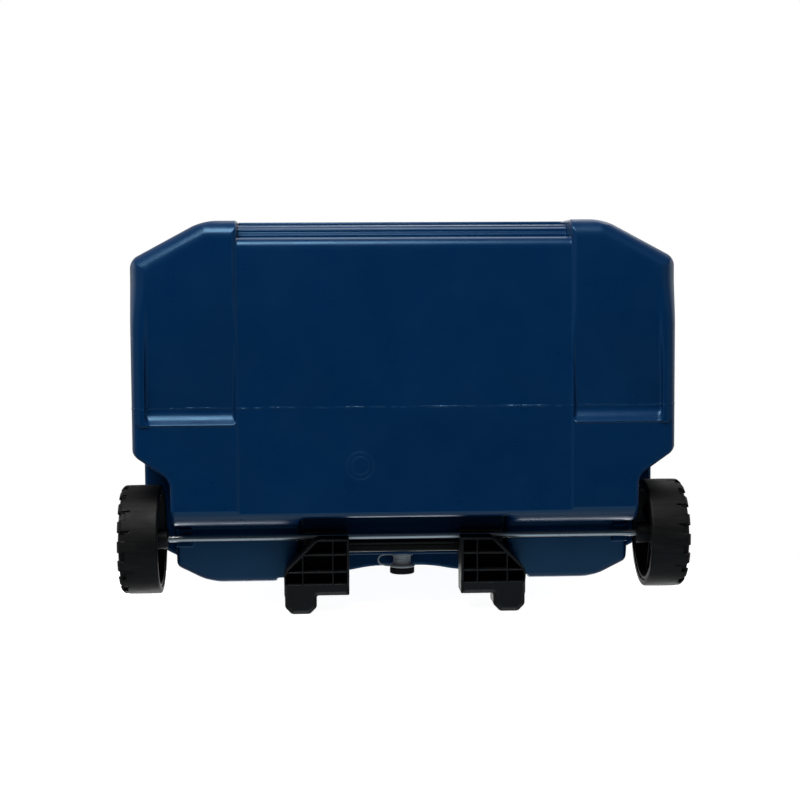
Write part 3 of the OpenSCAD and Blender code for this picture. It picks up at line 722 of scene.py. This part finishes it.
def tyre(x, y, z):
    """Hard tread with a cut shoulder: stepped lugs, and a slit of uneven length beside each."""
    u = x - WHEEL_IN
    rho, angle = about_axle(y, z)
    crown = 0.35 * ((u - TREAD / 2) / (TREAD / 2)) ** 2
    out = cut_round(rho - WHEEL_R + crown, slab(u, 0, TREAD), 2.2)
    bevel = (rho - WHEEL_R + u - TREAD + 4.5) * DIAGONAL
    out = cut_round(out, bevel, 1.2)
    arc = along_arc(angle, LUGS, WHEEL_R)
    low = maximum(abs(arc) - 5.2, maximum(TREAD - 9 - u, WHEEL_R - 4.2 - rho))
    out = carve(out, low, 0.8)
    out = carve(out, maximum(abs(arc) - 5.2, TREAD - 3.4 - u), 0.8)
    number = np.floor(np.mod(angle / (2 * math.pi / LUGS), LUGS))
    reach = 12.5 + 3.5 * np.sin(number * 2.4)
    slit = maximum(abs(arc - 5.6) - 0.75, maximum(TREAD - reach - u, WHEEL_R - 2.4 - rho))
    out = carve(out, slit, 0.35)
    return maximum(out, WHEEL_R - TREAD_DEPTH + 0.02 - rho)


def wheel(x, y, z):
    """Wheel core: rim, web with pockets, inner ribs and the hub with its boss."""
    u = x - WHEEL_IN
    rho, angle = about_axle(y, z)
    core = WHEEL_R - TREAD_DEPTH - 0.02
    rim = cut_round(cut_round(rho - core, slab(u, 1.2, TREAD - 1.2), 0.8), core - 4.0 - rho, 0.6)
    web_u = TREAD - 12 + 3.0 * ramp(rho, 20, 46)
    web = maximum(abs(u - web_u) - 1.7, rho - core + 2)
    spoke = along_arc(angle, 8, rho)
    out = join_round(rim, web, 2.5)
    hub = drum(rho, u, 12.0, hub_low[0] - WHEEL_IN, TREAD - 9.0, 1.2)
    boss = drum(rho, u, 17.0 - 0.35 * (u - 37), TREAD - 14, hub_high[0] - WHEEL_IN, 2.0)
    out = join_round(out, hub, 2.5)
    out = join_round(out, boss, 1.5)
    rib = maximum(abs(spoke) - 1.5, maximum(slab(u, 10, web_u), slab(rho, 10, core - 3)))
    out = join_round(out, rib, 1.2)
    pocket = along_arc(angle, 8, rho, 0.5)
    well = maximum(abs(pocket) - 0.26 * rho + 1.5, slab(rho, 23, 44))
    out = carve(out, cut_round(well, web_u + 0.4 - u, 0.8), 0.8)
    return carve(out, rho - 4.06, 0.4)


wheel_yz = [lines((c - 64.5, c + 64.5, 1.3)) for c in (AXLE_Y, AXLE_Z)]
tyre_x = lines(
    (WHEEL_IN - 1.5, WHEEL_IN + 9.5, 0.9), (WHEEL_IN + 9.5, WHEEL_IN + 32, 3.2),
    (WHEEL_IN + 32, WHEEL_IN + TREAD + 1.2, 0.9)
)
core_x = lines((hub_low[0] - 1.2, hub_high[0] + 1.4, 1.1))
mould_pair("tyre", tyre, (tyre_x, *wheel_yz), "{}_wheel", "tread")
mould_pair("wheel", wheel, (core_x, *wheel_yz), "{}_wheel", material=wheel_black)


# ---------- axle caps, brackets and cross bar ----------

def axle_cap(x, y, z):
    """Push-on cap with a domed face and a crimped skirt."""
    u = x - hub_high[0]
    rho, angle = about_axle(y, z)
    out = cut_round(drum(rho, u, 11.0, 0.4, 5.0, 1.2), hypot(rho, u + 21) - 26.0, 1.0)
    crimp = maximum(abs(along_arc(angle, 12, 11.0)) - 0.5, 9.9 - rho)
    return carve(out, crimp, 0.2)


cap_x = lines((hub_high[0] - 0.4, hub_high[0] + 6, 0.4))
cap_yz = [lines((c - 12, c + 12, 0.6)) for c in (AXLE_Y, AXLE_Z)]
mould_pair("axle_cap", axle_cap, (cap_x, *cap_yz), "{}_wheel", "steel", screw_steel)

BRACKET_IN = 65.0
BRACKET_LOW = 30.0
LOBE_END = 243.5
TUBE_BORE = 11.02
BAR_Y = 170.3
BAR_Z = 73.0


def bracket(x, y, z):
    """Tray with ribs between its cells, a closed lobe under the tube, and the pads that meet the body."""
    off = abs(x - TUBE_X)
    lobe = maximum(off - 18.5, maximum(y - LOBE_END, 196 - y))
    lobe = cut_round(lobe, (off - 10.5 + y - LOBE_END) * DIAGONAL, 1.5)
    tray = cut_round(slab(x, BRACKET_IN, 140), slab(y, 155, 222), 1.6)
    tray = cut_round(tray, (x - 103 - (y - 155)) * DIAGONAL, 3.0)
    plan = join_round(tray, lobe, 2.5)
    bevel = 1.0 + 5.0 * ramp(y, 199, 212)
    out = cut_round(plan, slab(z, BRACKET_LOW, 71.5), 0.9)
    out = cut_round(out, (plan + BRACKET_LOW - z + bevel) * DIAGONAL, 0.7)
    ribs = minimum(minimum(abs(y - 173.6) - 0.95, abs(y - 194) - 0.95), abs(y - 209) - 1.1)
    ribs = minimum(ribs, minimum(abs(x - 84), abs(x - 119)) - 0.85)
    ribs = maximum(ribs, BRACKET_LOW + 1.0 - z)
    closed = maximum(BRACKET_LOW + 0.9 - z, 208 - y)
    cell = cut_round(plan + 3.0, z - 69.0, 1.5)
    out = carve(out, carve(carve(cell, ribs, 0.5), closed, 0.3), 0.5)
    socket = drum(hypot(x - TUBE_X, y - TUBE_Y), z, 14.0, 50, 99.5, 1.4)
    out = join_round(out, socket, 2.0)
    out = join_round(out, brick(x, y, z, (BRACKET_IN, 162, 69), (118, WALL_Y - 0.2, 83), 1.6), 1.5)
    out = join_round(out, brick(x, y, z, (67, WALL_Y + 0.2, 69), (116, WALL_Y + 4, 122), 1.2), 1.5)
    for rib_x in (67, 90, 113):
        web = brick(x, y, z, (rib_x, WALL_Y + 0.2, 69), (rib_x + 3, 203, 122), 0.8)
        web = cut_round(web, (y - 203 + (z - 88) * 0.55) * 0.87, 1.0)
        out = join_round(out, web, 1.2)
    out = join_round(out, brick(x, y, z, (BRACKET_IN, 158, 61.5), (82, 180, 83), 1.2), 1.0)
    out = join_round(out, brick(x, y, z, (66, 150, 59), (116, 163, 77), 1.6), 1.0)
    rho, _ = about_axle(y, z)
    out = carve(out, rho - 4.05, 0.3)
    slot = maximum(abs(y - AXLE_Y) - 3.2, maximum(z - AXLE_Z, 58.5 - z))
    out = carve(out, slot, 0.3)
    bore = maximum(hypot(x - TUBE_X, y - TUBE_Y) - TUBE_BORE, 52 - z)
    return carve(out, bore, 0.3)


bracket_grid = (lines((63.5, 142, 1.15)), lines((148, 245.5, 1.15)), lines((28.8, 36, 0.8), (36, 124, 1.9)))
mould_pair("bracket", bracket, bracket_grid, "body")


def cross_bar(x, y, z):
    """Rolled bar with a groove along it."""
    out = cut_round(slab(y, BAR_Y - 6.2, BAR_Y + 6.2), slab(z, BAR_Z - 7.5, BAR_Z + 7.0), 2.4)
    out = cut_round(out, abs(x) - 66.5, 0.4)
    groove = hypot(y - BAR_Y + 2.6, z - BAR_Z + 7.6) - 1.1
    return carve(out, groove, 0.4)


bar_grid = (lines((-68, -62, 1), (-62, 62, 4), (62, 68, 1)), lines((163, 177.5, 0.55)), lines((64.5, 81, 0.6)))
mould("cross_bar", cross_bar, bar_grid, "body", "black_tube", material=bar_black)


# ---------- drain ----------

SPIGOT_END = WALL_Y + 20
BARREL_R = 10.7


def about_drain(x, z):
    """Distance from the drain's line, and the angle about it."""
    return hypot(x, z - DRAIN_Z), np.arctan2(z - DRAIN_Z, x)


def spigot(x, y, z):
    """Pipe through the wall, its flange and a threaded barrel."""
    rho, _ = about_drain(x, z)
    out = minimum(drum(rho, y, 9.0, 161, WALL_Y + 1, 0.5), drum(rho, y, 13.0, WALL_Y, WALL_Y + 2.5, 0.9))
    barrel = drum(rho, y, BARREL_R, WALL_Y, SPIGOT_END, 0.8)
    for k in range(4):
        barrel = carve(barrel, hypot(rho - 10.9, y - WALL_Y - 7.5 - 2.6 * k) - 0.42, 0.15)
    return carve(join_round(out, barrel, 0.8), rho - 6.5, 0.4)


def drain_ring(x, y, z):
    rho, _ = about_drain(x, z)
    out = cut_round(rho - 15.5, slab(y, SPIGOT_END - 4.6, SPIGOT_END - 1.8), 1.2)
    return carve(out, rho - 11.1, 0.4)


def drain_cap(x, y, z):
    """Fluted cap with a dished face and a bar across it to turn it by."""
    rho, angle = about_drain(x, z)
    low, high = SPIGOT_END - 1.5, SPIGOT_END + 6.0
    out = drum(rho, y, 14.8, low, high, 1.4)
    flute = hypot(along_arc(angle, 18, 15.6), rho - 16.0) - 1.7
    out = carve(out, flute, 0.3)
    dish = cut_round(rho - 11.2, high - 1.8 - y, 1.0)
    bar = cut_round(abs(z - DRAIN_Z) - 2.0, y - high + 0.2, 0.7)
    out = carve(out, carve(dish, bar, 0.6), 0.5)
    return carve(out, maximum(rho - 11.1, y - SPIGOT_END - 2.3), 0.3)


drain_xz = (lines((-16.5, 16.5, 0.55)), lines((DRAIN_Z - 16.5, DRAIN_Z + 16.5, 0.55)))
for name, form, low, high, at, slot in (
    ("drain_spigot", spigot, 160, SPIGOT_END + 1, "body", "grey_plastic"),
    ("drain_ring", drain_ring, SPIGOT_END - 5.4, SPIGOT_END - 1, "drain_ring", "strap"),
    ("drain_cap", drain_cap, SPIGOT_END - 2.2, SPIGOT_END + 7, "drain_cap", "black_plastic"),
):
    mould(name, form, (drain_xz[0], lines((low, high, 0.5)), drain_xz[1]), at, slot)


def tether():
    """Flat strap on edge: out from the collar, round one loose loop and back to the ring."""
    mid = WALL_Y + 10.3
    knots = np.array([
        (-12.0, mid - 7.0), (-17.0, mid - 7.1), (-22.0, mid - 7.0), (-26.6, mid - 5.2), (-28.8, mid - 1.6),
        (-28.2, mid + 2.0), (-25.4, mid + 4.6), (-21.0, mid + 6.0), (-17.4, mid + 6.5), (-14.6, mid + 6.6)
    ])
    t = np.linspace(0, len(knots) - 1, 80)
    k = clip(t.astype(int), 0, len(knots) - 2)
    s = (t - k)[:, None]
    p0, p1, p2, p3 = (knots[clip(k + d, 0, len(knots) - 1)] for d in (-1, 0, 1, 2))
    path = 0.5 * (2 * p1 + (p2 - p0) * s + (2 * p0 - 5 * p1 + 4 * p2 - p3) * s ** 2
                  + (3 * p1 - p0 - 3 * p2 + p3) * s ** 3)
    ahead = np.gradient(path, axis=0)
    ahead /= np.linalg.norm(ahead, axis=1)[:, None]
    across = np.stack([-ahead[:, 1], ahead[:, 0]], 1)
    angles = np.linspace(0, 2 * math.pi, 24, False)
    thick = [0.8 * math.copysign(abs(math.cos(a)) ** 0.35, math.cos(a)) for a in angles]
    wide = [2.8 * math.copysign(abs(math.sin(a)) ** 0.2, math.sin(a)) for a in angles]
    section = list(zip(thick, wide))
    n = len(section)
    points = np.array([(*(path[i] + across[i] * u), DRAIN_Z + w) for i in range(len(path)) for u, w in section])
    faces = [(i * n + j, i * n + (j + 1) % n, (i + 1) * n + (j + 1) % n, (i + 1) * n + j)
             for i in range(len(path) - 1) for j in range(n)]
    mesh = bpy.data.meshes.new("drain_strap")
    mesh.from_pydata(((points + (0, PLAN_Y, 0)) * MM).tolist(), [],
                     faces + [tuple(range(n - 1, -1, -1)), tuple(range((len(path) - 1) * n, len(path) * n))])
    mesh.shade_smooth()
    strap = put("drain_strap", mesh)
    # The strap's light grey is partly a painted highlight, standing in for the lit edge of a dark strap.
    mesh.materials.append(looks["strap"])
    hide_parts("drain_tether")
    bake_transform(strap)


tether()


def collar(x, y, z):
    """Ring of the strap that sits against the flange."""
    rho, _ = about_drain(x, z)
    out = drum(rho, y, 13.0, WALL_Y + 2.5, WALL_Y + 4.1, 0.6)
    return carve(out, rho - 10.75, 0.3)


collar_grid = (drain_xz[0], lines((WALL_Y + 2, WALL_Y + 4.8, 0.4)), drain_xz[1])
mould("drain_collar", collar, collar_grid, "body", "strap", [])


# ---------- pull handle ----------

guide_low, guide_high = span("tube_guide")
yoke_low, yoke_high = span("middle_yoke")
grip_low, grip_high = span("handle_grip")
button_low, button_high = span("grip_button")
BACK_Y = BASE_Y + END_LEAN - BAY_DEPTH


def tube_guide(x, y, z):
    """Clamp that holds both tubes to the body: a ribbed plate between two sleeves."""
    ax = abs(x)
    low, high = guide_low[2], guide_high[2]
    mid = (low + high) / 2
    rho = hypot(ax - TUBE_X, y - TUBE_Y)
    sleeve = drum(rho, z, 14.0, low, high, 2.0)
    foot = brick(ax, y, z, (TUBE_X - 14, BACK_Y, low), (TUBE_X + 14, TUBE_Y, high), 2.0)
    plate = brick(x, y, z, (-TUBE_X, BACK_Y, low), (TUBE_X, BACK_Y + 5, high), 1.4)
    out = join_round(join_round(sleeve, foot, 1.0), plate, 3.0)
    panel = brick(x, y, z, (-68, BACK_Y + 3.4, low + 6), (68, BACK_Y + 20, high - 6), 1.4)
    out = carve(out, panel, 0.8)
    rib = brick(x, y, z, (-68, BACK_Y + 2, mid - 1.2), (68, BACK_Y + 4.6, mid + 1.2), 0.6)
    return carve(join_round(out, rib, 0.8), rho - TUBE_BORE, 0.6)


def yoke(x, y, z):
    """Collars at the top of the middle tubes, and the grooved bridge between them."""
    ax = abs(x)
    low, high = yoke_low[2], yoke_high[2]
    rho = hypot(ax - TUBE_X, y - TUBE_Y)
    collar_ring = drum(rho, z, 11.8, low, high, 1.6)
    bridge = brick(x, y, z, (-TUBE_X, TUBE_Y - 5, low), (TUBE_X, TUBE_Y + 5, high), 1.6)
    groove = brick(x, y, z, (-100, TUBE_Y + 3.8, low + 2.6), (100, TUBE_Y + 9, high - 2.6), 0.8)
    out = carve(join_round(collar_ring, bridge, 2.0), groove, 0.5)
    return carve(out, rho - 8.42, 0.4)


def handle_grip(x, y, z):
    """Grip with soft edges, finger ribs on its back face, and a well for the button."""
    ax = abs(x)
    low, high = grip_low[2], grip_high[2]
    radius = (grip_high[1] - grip_low[1]) / 2
    mid = (grip_high[1] + grip_low[1]) / 2 - PLAN_Y
    up = abs(z - (low + high) / 2)
    plan = hypot(maximum(ax - grip_high[0] + radius, 0), y - mid) - radius
    out = cut_round(plan, slab(z, low, high), 5.0)
    waves = 0.7 * (0.5 + 0.5 * np.cos(ax * (2 * math.pi / 9.0))) * ramp(ax, 27, 34) * (1 - ramp(ax, 96, 104))
    out = out + waves * ramp(y - mid, radius - 6, radius) * (1 - ramp(up, 6, 10))
    well = cut_round(slab(x, -22.4, 22.4), slab(y, TUBE_Y - 8.4, TUBE_Y + 8.4), 3.0)
    well = maximum(well, button_low[2] - 4 - z)
    out = carve(out, well, 1.6)
    parting = maximum(up - 0.25, -0.35 - plan)
    out = carve(out, parting, 0.1)
    return carve(out, maximum(hypot(ax - TUBE_X, y - TUBE_Y) - 8.0, z - 369.4), 0.4)


def grip_button(x, y, z):
    """Push button with three ridges for the thumb, over the link to the release rods."""
    low, high = button_low[2], button_high[2]
    plan = cut_round(slab(x, -22, 22), slab(y, TUBE_Y - 8, TUBE_Y + 8), 2.8)
    out = cut_round(plan, slab(z, high - 13, high - 0.3), 1.4)
    for k in (-1, 0, 1):
        ridge = cut_round(hypot(x - 6 * k, z - high + 0.7) - 1.0, abs(y - TUBE_Y) - 5.5, 0.5)
        out = join_round(out, ridge, 0.6)
    link = brick(x, y, z, (-TUBE_X - 3, TUBE_Y - 3, low), (TUBE_X + 3, TUBE_Y + 3, low + 4), 0.6)
    return minimum(out, link)


for name, form, at, x_spans, y_span, z_span in (
    ("tube_guide", tube_guide, "body", ((0, 62, 7), (62, 74, 1.4), (74, 104, 5), (104, 138, 1.2)),
     (BACK_Y - 1, 245.5, 1.1), (guide_low[2] - 1, guide_high[2] + 1, 1.0)),
    ("middle_yoke", yoke, "lower_stage", ((0, 94, 6), (94, 135, 1.0)),
     (216, 243.5, 0.9), (yoke_low[2] - 0.8, yoke_high[2] + 0.8, 0.7)),
    ("handle_grip", handle_grip, "upper_stage", ((0, 18, 3), (18, 138.5, 1.1)),
     (217.5, 245, 1.0), (grip_low[2] - 0.8, grip_high[2] + 0.8, 0.9)),
    ("grip_button", grip_button, "grip_button", ((0, 23.5, 0.6), (23.5, 118, 6), (118, 126, 1)),
     (TUBE_Y - 9, TUBE_Y + 9, 0.7), (button_low[2] - 0.6, button_high[2] + 0.6, 0.6)),
):
    mould(name, form, (mirror_lines(*x_spans), lines(y_span), lines(z_span)), at, "black_plastic")

# ---------- side handles ----------

_, bail_high = span("right_side_handle")
PIVOT_X = bail_high[0] - 9.0
PIVOT_Z = bail_high[2] - 7.0
EAR_X = span("right_handle_ears")[0][0]
BAIL_DROP = 75.0


def side_handle(x, y, z):
    """Swinging bail: ribbed round grip between two arms on pins."""
    ay = abs(y)
    rho = hypot(x - PIVOT_X, z - PIVOT_Z + BAIL_DROP)
    ribs = 0.55 * (0.5 + 0.5 * np.cos(y * (2 * math.pi / 7.5))) * (1 - ramp(ay, 32, 38))
    out = drum(rho + ribs, ay, 9.0, -60, 51, 2.5)
    arm = brick(x, ay, z, (PIVOT_X - 5, 43, PIVOT_Z - BAIL_DROP), (PIVOT_X + 5, 51, PIVOT_Z), 2.0)
    off_pin = hypot(x - PIVOT_X, z - PIVOT_Z)
    eye = drum(off_pin, ay, 7.0, 43, 51, 1.5)
    pin = drum(off_pin, ay, 3.9, 46, 66, 0.6)
    window = brick(x, ay, z, (PIVOT_X - 2.6, 38, PIVOT_Z - 58), (PIVOT_X + 2.6, 45.0, PIVOT_Z - 12), 1.4)
    out = join_round(join_round(out, arm, 3.0), eye, 2.0)
    return minimum(carve(out, window, 0.6), pin)


def handle_ears(x, y, z):
    """Screwed plates that carry the handle's pins."""
    ay = abs(y)
    plate = brick(x, ay, z, (EAR_X, 52, PIVOT_Z - 20), (EAR_X + 3, 76, PIVOT_Z + 17), 1.2)
    rho = hypot(x - PIVOT_X, z - PIVOT_Z)
    barrel = drum(rho, ay, 9.0, 52, 68, 1.6)
    neck = brick(x, ay, z, (EAR_X, 52, PIVOT_Z - 9), (PIVOT_X, 68, PIVOT_Z + 9), 1.4)
    out = join_round(join_round(plate, neck, 1.6), barrel, 0.6)
    return carve(out, maximum(rho - 4.5, ay - 66.6), 0.4)


bail_grid = (
    lines((PIVOT_X - 10, PIVOT_X + 10, 0.9)), mirror_lines((0, 41, 1.1), (41, 68, 1.0)),
    lines((PIVOT_Z - 85, PIVOT_Z - 64, 0.9), (PIVOT_Z - 64, PIVOT_Z - 12, 3), (PIVOT_Z - 12, PIVOT_Z + 8, 0.9))
)
ear_grid = (
    lines((EAR_X - 0.7, PIVOT_X + 10, 0.9)), mirror_lines((0, 50, 25), (50, 77, 0.9)),
    lines((PIVOT_Z - 21, PIVOT_Z + 18, 0.9))
)
mould_pair("side_handle", side_handle, bail_grid, "{}_side_handle")
mould_pair("handle_ears", handle_ears, ear_grid, "body")

# ---------- hinges ----------

HINGE_X, HINGE_Y, HINGE_Z = centre("right_hinge_pin") - (0, PLAN_Y, 0)
LEAF_Y = HINGE_Y - 6.6
SCREW_Z = 356.0


def hinge_half(x, y, z, plate_z, across, web_z, bore):
    """Plate, the knuckle over part of the hinge's width, the web that joins them, and the pin's bore."""
    ax = abs(x - HINGE_X)
    rho = hypot(y - HINGE_Y, z - HINGE_Z)
    plate = brick(ax, y, z, (-30, LEAF_Y, plate_z[0]), (28, LEAF_Y + 3, plate_z[1]), 1.0)
    knuckle = drum(rho, ax, 6.0, *across, 0.8)
    web = brick(ax, y, z, (across[0], LEAF_Y, web_z[0]), (across[1], HINGE_Y, web_z[1]), 0.8)
    out = join_round(plate, join_round(knuckle, web, 0.4), 0.6)
    return carve(out, rho - bore, 0.3)


def hinge_base(x, y, z):
    out = hinge_half(x, y, z, (344, HINGE_Z - 7), (10.4, 28), (HINGE_Z - 12, HINGE_Z), 2.52)
    off = hypot(abs(x - HINGE_X) - 20, z - SCREW_Z)
    return carve(out, drum(off, y, 4.3, LEAF_Y + 2.6, LEAF_Y + 9, 0.3), 0.3)


def hinge_leaf(x, y, z):
    return hinge_half(x, y, z, (HINGE_Z + 7.5, HINGE_Z + 42), (-12, 10), (HINGE_Z, HINGE_Z + 12), 2.56)


hinge_x = lines((HINGE_X - 29.2, HINGE_X + 29.2, 0.85))
hinge_y = lines((LEAF_Y - 0.7, HINGE_Y + 6.8, 0.8))
base_z, leaf_z = lines((343, 396.8, 0.9)), lines((383.2, 433, 0.9))
mould_pair("hinge_base", hinge_base, (hinge_x, hinge_y, base_z), "body")
mould_pair("hinge_leaf", hinge_leaf, (hinge_x, hinge_y, leaf_z), "lid")


# ---------- screws ----------

def screw(x, y, z):
    """Pan-head screw with a crossed recess, along +y, its head on y = 0."""
    rho = hypot(x, z)
    head = cut_round(drum(rho, y, 4.0, 0, 2.4, 0.5), hypot(rho, y + 6.2) - 8.6, 0.4)
    out = minimum(head, drum(rho, y, 2.0, -6.0, 0.5, 0.3))
    ax, az = abs(x), abs(z)
    cross = minimum(maximum(ax - 0.5, az - 2.1), maximum(az - 0.5, ax - 2.1))
    return carve(out, maximum(cross, 1.2 - y), 0.12)


screw_xz = lines((-4.4, 4.4, 0.34))
screw_skin = skin(screw, screw_xz, lines((-6.4, 0, 0.9), (0, 2.8, 0.3)), screw_xz)


def screws(node, body_name, places, axis="y"):
    """Copies of the screw, each with its recess turned a little, as one piece for the CAD node."""
    p, quads, normal = screw_skin
    rng = np.random.default_rng(len(places) + int(places[0][2]))
    points, faces, normals = [], [], []
    for k, place in enumerate(places):
        a = rng.uniform(0, math.pi)
        c, s = math.cos(a), math.sin(a)
        turn = np.array([[c, 0, s], [0, 1, 0], [-s, 0, c]])
        if axis == "x":
            side = math.copysign(1, place[0])
            turn = np.array([[0, side, 0], [-side, 0, 0], [0, 0, 1]]) @ turn
        points.append(p @ turn.T + place)
        normals.append(normal @ turn.T)
        faces.append(quads + k * len(p))
    piece = make(node, np.concatenate(points), np.concatenate(faces), np.concatenate(normals))
    finish_piece(piece, body_name, "steel", [node], screw_steel)


SIDES = (-1, 1)
four = [s * (HINGE_X + d) for s in SIDES for d in (-20, 20)]
screws("hinge_base_screws", "body", [(x, LEAF_Y + 3, SCREW_Z) for x in four])
screws("hinge_leaf_screws", "lid", [(x, LEAF_Y + 3, HINGE_Z + 30) for x in four])
screws("guide_screws", "body", [(x, BACK_Y + 5, z) for x in (-84, 84) for z in (329.0, 345.0)])
screws("bracket_screws", "body", [(s * x, WALL_Y + 4, 112.0) for s in SIDES for x in (78, 106)])
ear_places = [(s * (EAR_X + 3), y, PIVOT_Z + d) for s in SIDES for y in (-71, 71) for d in (-14, 13)]
screws("ear_screws", "body", ear_places, "x")


# ---------- camera, lights and floor ----------

def camera():
    """Looks up at the base, with the cooler lying on its back."""
    yaw, pitch, roll = -0.0501, 0.0718, -0.0060
    data = bpy.data.cameras.new("camera")
    data.sensor_width = 36.0
    data.lens = 71.7795
    data.clip_start = 0.05
    cam = put("camera", data)
    turns = [Matrix.Rotation(angle, 3, axis) for angle, axis in ((roll, "Z"), (pitch, "X"), (yaw, "Y"))]
    seen = turns[0] @ turns[1] @ turns[2]
    right, down, ahead = (Vector(seen[k]) for k in range(3))
    axes = Matrix((right, -down, -ahead)).transposed()
    place = Vector((-96.9, -137.5 + PLAN_Y, -1800.0)) * MM
    cam.matrix_world = Matrix.Translation(place) @ axes.to_4x4()
    bpy.context.scene.camera = cam


def softbox(name, place, target_z, size, power, tint=(1, 1, 1)):
    """Rectangular light that faces a point on the row frame's z axis."""
    data = bpy.data.lights.new(name, "AREA")
    data.shape = "RECTANGLE"
    data.size, data.size_y = size
    data.energy = power
    data.color = tint
    light = put(name, data)
    light.location = place
    ahead = Vector((0, 0, target_z)) - light.location
    light.rotation_mode = "QUATERNION"
    light.rotation_quaternion = ahead.to_track_quat("-Z", "Y")


def one_sided(name, corners, middle, glow):
    """Pale plane that only the camera sees, and only from its front, fading to white away from the object."""
    mesh = bpy.data.meshes.new(name)
    mesh.from_pydata(corners, [], [(0, 1, 2, 3)])
    plane = put(name, mesh)
    pale = (0.84, 0.84, 0.84)
    material, n = shader(name, pale, 0.9, Specular_IOR_Level=0.0, Emission_Color=(1, 1, 1, 1))
    n.drive("Base Color", n.blend(n.noise(3.0, 2.0), pale, tuple(c * 0.99 for c in pale)))
    away = n.vector("DISTANCE", n.place, middle)["Value"]
    n.drive("Emission Strength", n.scaled(away, 0.45, 1.3, glow, 1))
    behind = n.add("ShaderNodeNewGeometry").outputs["Backfacing"]
    clear = n.add("ShaderNodeBsdfTransparent").outputs[0]
    mix = n.add("ShaderNodeMixShader", {0: behind, 1: n.surface.outputs[0], 2: clear})
    n.link(mix.outputs[0], n.tree.nodes["Material Output"].inputs["Surface"])
    mesh.materials.append(material)
    plane.visible_shadow = plane.visible_diffuse = plane.visible_glossy = False


def studio():
    low, high = cad_box
    back = high.y + 0.0005
    under = low.z - 0.0006
    wide, top = 4, 0.34
    wall = [(-wide, back, -3), (wide, back, -3), (wide, back, top), (-wide, back, top)]
    ground = [(x * wide, y * wide, under) for x, y in ((-1, -1), (1, -1), (1, 1), (-1, 1))]
    one_sided("back_plane", wall, (0, back, 0), 0.95)
    one_sided("floor", ground, (0, 0, under), 0.3)
    softbox("key", (-0.5, -2.1, -1.2), 0.1, (1.4, 1.1), 66)
    softbox("low_fill", (0.3, 2.1, -1.7), 0.1, (2.6, 2.4), 13, (0.5, 0.82, 1.0))
    softbox("heel_light", (0.2, 2.6, -0.2), 0.1, (2.4, 0.7), 5)
    softbox("front_fill", (0.6, -2.0, 1.8), 0.2, (2.0, 1.4), 12)
    softbox("left_fill", (-2.4, -0.5, 0.7), 0.15, (1.2, 2.0), 7)
    softbox("right_fill", (2.4, -0.5, 0.7), 0.15, (1.2, 2.0), 6)
    softbox("back_fill", (0.1, 2.2, 2.2), 0.2, (2.0, 1.4), 26)
    softbox("top", (0.2, 0.2, 2.6), 0.2, (2.2, 2.2), 24)
    sky()


def sky():
    """White to the camera. Other rays see a soft ring below the horizon and a light upper half."""
    world = bpy.data.worlds.new("studio")
    bpy.context.scene.world = world
    world.use_nodes = True
    tree = world.node_tree
    tree.nodes.clear()
    n = Nodes(tree)
    seen_along = n.add("ShaderNodeTexCoord").outputs["Generated"]
    height = n.add("ShaderNodeSeparateXYZ", {0: seen_along}).outputs["Z"]
    ring = n.math("MULTIPLY", n.scaled(height, -0.95, -0.75, 0, 0.26), n.scaled(height, -0.5, -0.2, 1, 0.2))
    level = n.math("ADD", ring, n.scaled(height, -0.1, 0.5, 0.03, 0.36))
    from_camera = n.add("ShaderNodeLightPath").outputs["Is Camera Ray"]
    strength = n.math("MAXIMUM", level, from_camera)
    background = n.add("ShaderNodeBackground", {"Color": (1, 1, 1, 1), "Strength": strength})
    n.add("ShaderNodeOutputWorld", {0: background.outputs[0]})
    bpy.context.scene.view_settings.view_transform = "Standard"


camera()
studio()

for part in frame["record"]["subparts"]:
    node = frame["nodes"][part["node"]]
    node.data.materials.clear()
    node.data.materials.append(looks[part["material_slot"]])
